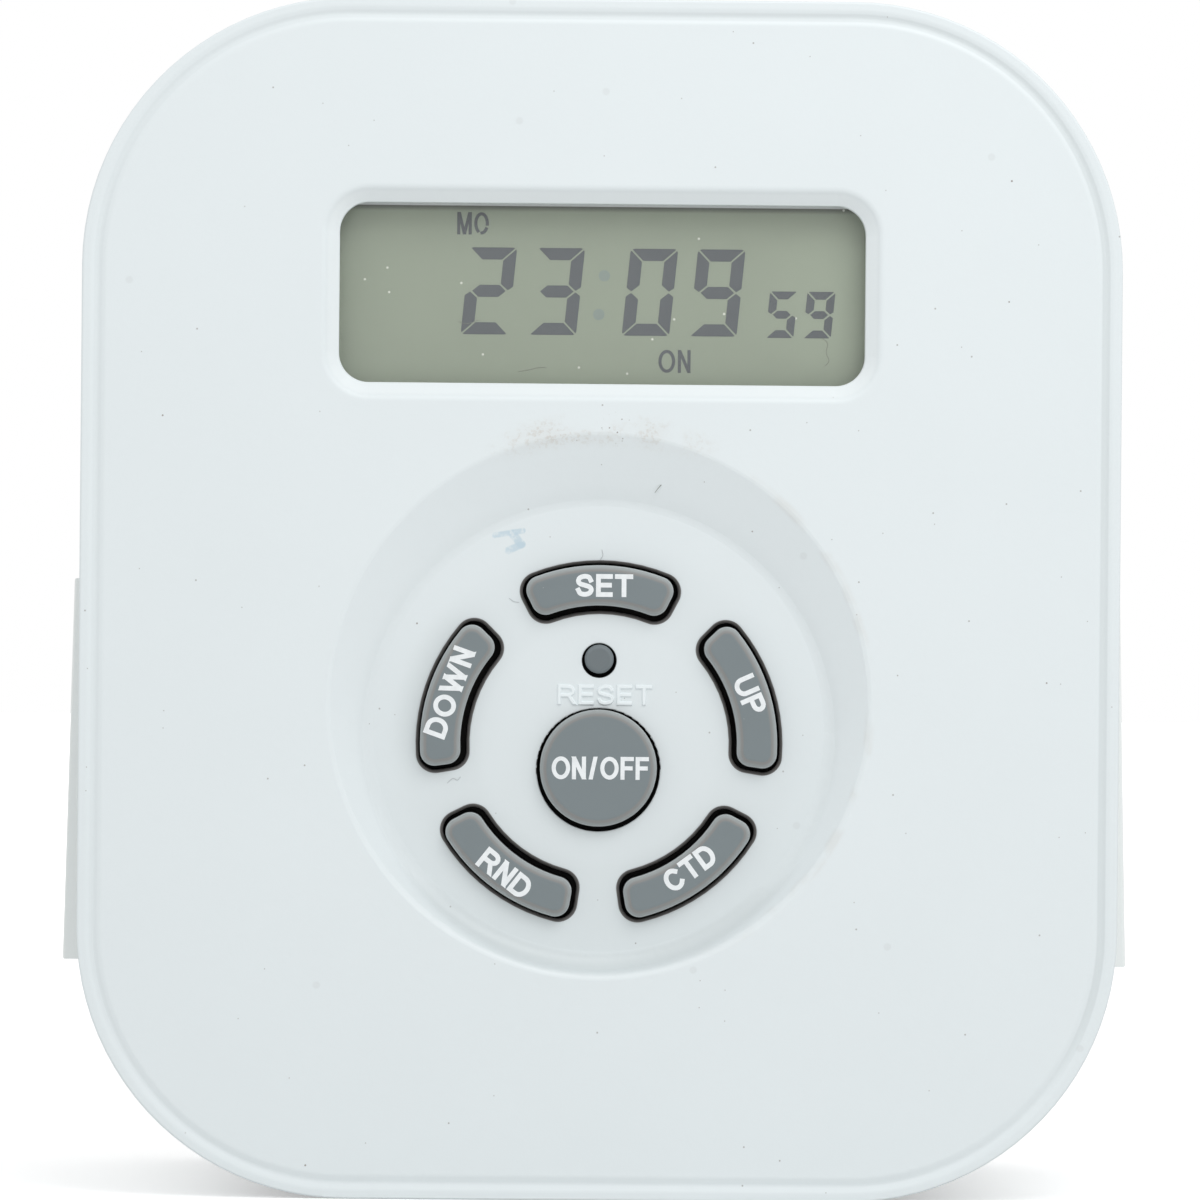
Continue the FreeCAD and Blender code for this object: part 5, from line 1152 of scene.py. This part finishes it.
class TIMER_OT_lint(bpy.types.Operator):
    """Lay a few lint fibres on the window and in the dish"""

    bl_idname = "timer.lint"
    bl_label = "Lint"

    def execute(self, context):
        look = settings().case
        dark = moulded("dark_lint", look.dark_lint, 0.8, 0.1 * MM, 0.002 * MM, 0.2)
        pale = moulded("pale_lint", look.pale_lint, 0.8, 0.1 * MM, 0.002 * MM, 0.2)
        for name, paths, front, thread in (
            ("window_lint", WINDOW_FIBRES, PANE_FRONT_Y, dark),
            ("dish_lint", DISH_FIBRES, DISH_FLOOR_Y, pale),
            ("slope_lint", SLOPE_FIBRES, DISH_FLOOR_Y - SLOPE_OVER_FLOOR, dark),
        ):
            solids = [fibre(np.array(path) * MM, FIBRE_RADIUS, front) for path in paths]
            piece_from(name, solids, thread, "case")
        return {"FINISHED"}


# The floor's reach each way and its points per side, the lamp's place and size, and the camera's sensor
FLOOR_REACH = 2.0
FLOOR_POINTS = 9
LAMP_PLACE = (62 * MM, -190 * MM, 168 * MM)
LAMP_SIZE = (160 * MM, 110 * MM)
SENSOR_WIDTH = 36.0


class TIMER_OT_stage(bpy.types.Operator):
    """Set the floor, the lamps, the white surroundings and the camera"""

    bl_idname = "timer.stage"
    bl_label = "Stage"

    def execute(self, context):
        look = settings().stage
        context.scene.view_settings.view_transform = "Standard"
        self.floor(look)
        self.surroundings(context, look)
        self.lamp(look)
        self.camera(context, look)
        return {"FINISHED"}

    def floor(self, look):
        """A wide plate under the timer: a grid of points, flat at the height it stands on."""
        reach = np.linspace(-FLOOR_REACH, FLOOR_REACH, FLOOR_POINTS)
        x, y = np.meshgrid(reach, reach)
        points = np.stack([x, y, np.full_like(x, FLOOR_Z)], axis=-1).reshape(-1, 3)
        index = np.arange(x.size).reshape(x.shape)
        faces = np.stack([index[:-1, :-1], index[:-1, 1:], index[1:, 1:], index[1:, :-1]], axis=-1)
        mesh = bpy.data.meshes.new("floor")
        mesh.from_pydata(points.tolist(), [], faces.reshape(-1, 4).tolist())
        finish = Finish("floor_look")
        cloud = finish.noise(400 * MM, 2.0)
        finish.mottle(cloud, look.floor, 0.985, 1.0)
        away = finish.node("VectorMath", {0: finish.place}, operation="LENGTH").outputs["Value"]
        glow = finish.ramp(away, 120 * MM, 500 * MM, look.floor_lift, 1.0)
        seen = finish.node("LightPath").outputs["Is Camera Ray"]
        mesh.materials.append(finish.set(
            roughness=0.9, specular_ior_level=0.1, emission_color=(1.0, 1.0, 1.0),
            emission_strength=finish.times(glow, seen),
        ))
        floor = bpy.data.objects.new("floor", mesh)
        bpy.context.scene.collection.objects.link(floor)

    def surroundings(self, context, look):
        """White to the camera, to reflections and through clear parts, and a plain even light elsewhere."""
        world = bpy.data.worlds.new("surroundings")
        world.use_nodes = True
        world.node_tree.nodes.clear()
        nodes = Nodes(world.node_tree)
        rays = nodes.node("LightPath").outputs
        white = nodes.most(rays["Is Camera Ray"], rays["Is Glossy Ray"], rays["Is Transmission Ray"])
        strength = nodes.node("MapRange", {"Value": white, "To Min": look.fill, "To Max": 1.0})
        light = nodes.node("Background", {"Color": (1.0, 1.0, 1.0), "Strength": strength.outputs[0]})
        nodes.node("OutputWorld", {"Surface": light.outputs[0]})
        context.scene.world = world

    def lamp(self, look):
        """One large soft lamp over the camera, a little to the right."""
        data = bpy.data.lights.new("key_lamp", "AREA")
        data.shape = "RECTANGLE"
        data.size, data.size_y = LAMP_SIZE
        data.energy = look.key_power
        lamp = bpy.data.objects.new("key_lamp", data)
        lamp.visible_camera = False
        bpy.context.scene.collection.objects.link(lamp)
        place = Vector(LAMP_PLACE)
        aim = Vector((0.0, FACE_Y, 0.0)) - place
        lamp.matrix_world = Matrix.Translation(place) @ aim.to_track_quat("-Z", "Y").to_matrix().to_4x4()

    def camera(self, context, look):
        """A long lens in front of the face. The lens is sensor width * distance / view width."""
        data = bpy.data.cameras.new("camera")
        data.sensor_width = SENSOR_WIDTH
        data.lens = SENSOR_WIDTH * look.distance / look.view_width
        data.clip_start = 10 * MM
        data.clip_end = 100.0
        camera = bpy.data.objects.new("camera", data)
        context.scene.collection.objects.link(camera)
        aim = Vector((0.0, FACE_Y + 0.6 * MM, 0.0))
        ahead = Vector((math.sin(look.azimuth), math.cos(look.azimuth), 0.0))
        up = Vector((0.0, 0.0, 1.0))
        right = ahead.cross(up)
        leaning_up = up * math.cos(look.roll) - right * math.sin(look.roll)
        leaning_right = ahead.cross(leaning_up)
        axes = Matrix((leaning_right, leaning_up, -ahead)).transposed().to_4x4()
        camera.matrix_world = Matrix.Translation(aim - ahead * look.distance) @ axes
        context.scene.camera = camera


# The order of work
OPERATORS = (TIMER_OT_stage, TIMER_OT_case, TIMER_OT_keys, TIMER_OT_display, TIMER_OT_inside, TIMER_OT_lint)


class TIMER_PT_panel(bpy.types.Panel):
    """Lists the timer's looks and the operators that make them."""

    bl_idname = "TIMER_PT_panel"
    bl_label = "Digital Timer"
    bl_space_type = "VIEW_3D"
    bl_region_type = "UI"
    bl_category = "Timer"

    def draw(self, context):
        for group in ("case", "keys", "display", "stage"):
            look = getattr(context.scene.timer_settings, group)
            box = self.layout.box()
            box.label(text=group.capitalize())
            for field in look.bl_rna.properties:
                if field.identifier not in ("rna_type", "name"):
                    box.prop(look, field.identifier)
        for operator in OPERATORS:
            self.layout.operator(operator.bl_idname)


CLASSES = (CaseLook, KeyLook, DisplayLook, StageLook, TimerSettings, *OPERATORS, TIMER_PT_panel)


def register():
    """Makes the classes known and gives the scene its settings."""
    for cls in CLASSES:
        bpy.utils.register_class(cls)
    bpy.types.Scene.timer_settings = bpy.props.PointerProperty(type=TimerSettings)


def unregister():
    """Takes the settings and the classes away again."""
    del bpy.types.Scene.timer_settings
    for cls in reversed(CLASSES):
        bpy.utils.unregister_class(cls)


def main():
    """Registers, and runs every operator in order."""
    register()
    for operator in OPERATORS:
        group, name = operator.bl_idname.split(".")
        getattr(getattr(bpy.ops, group), name)()


if __name__ == "__main__":
    main()
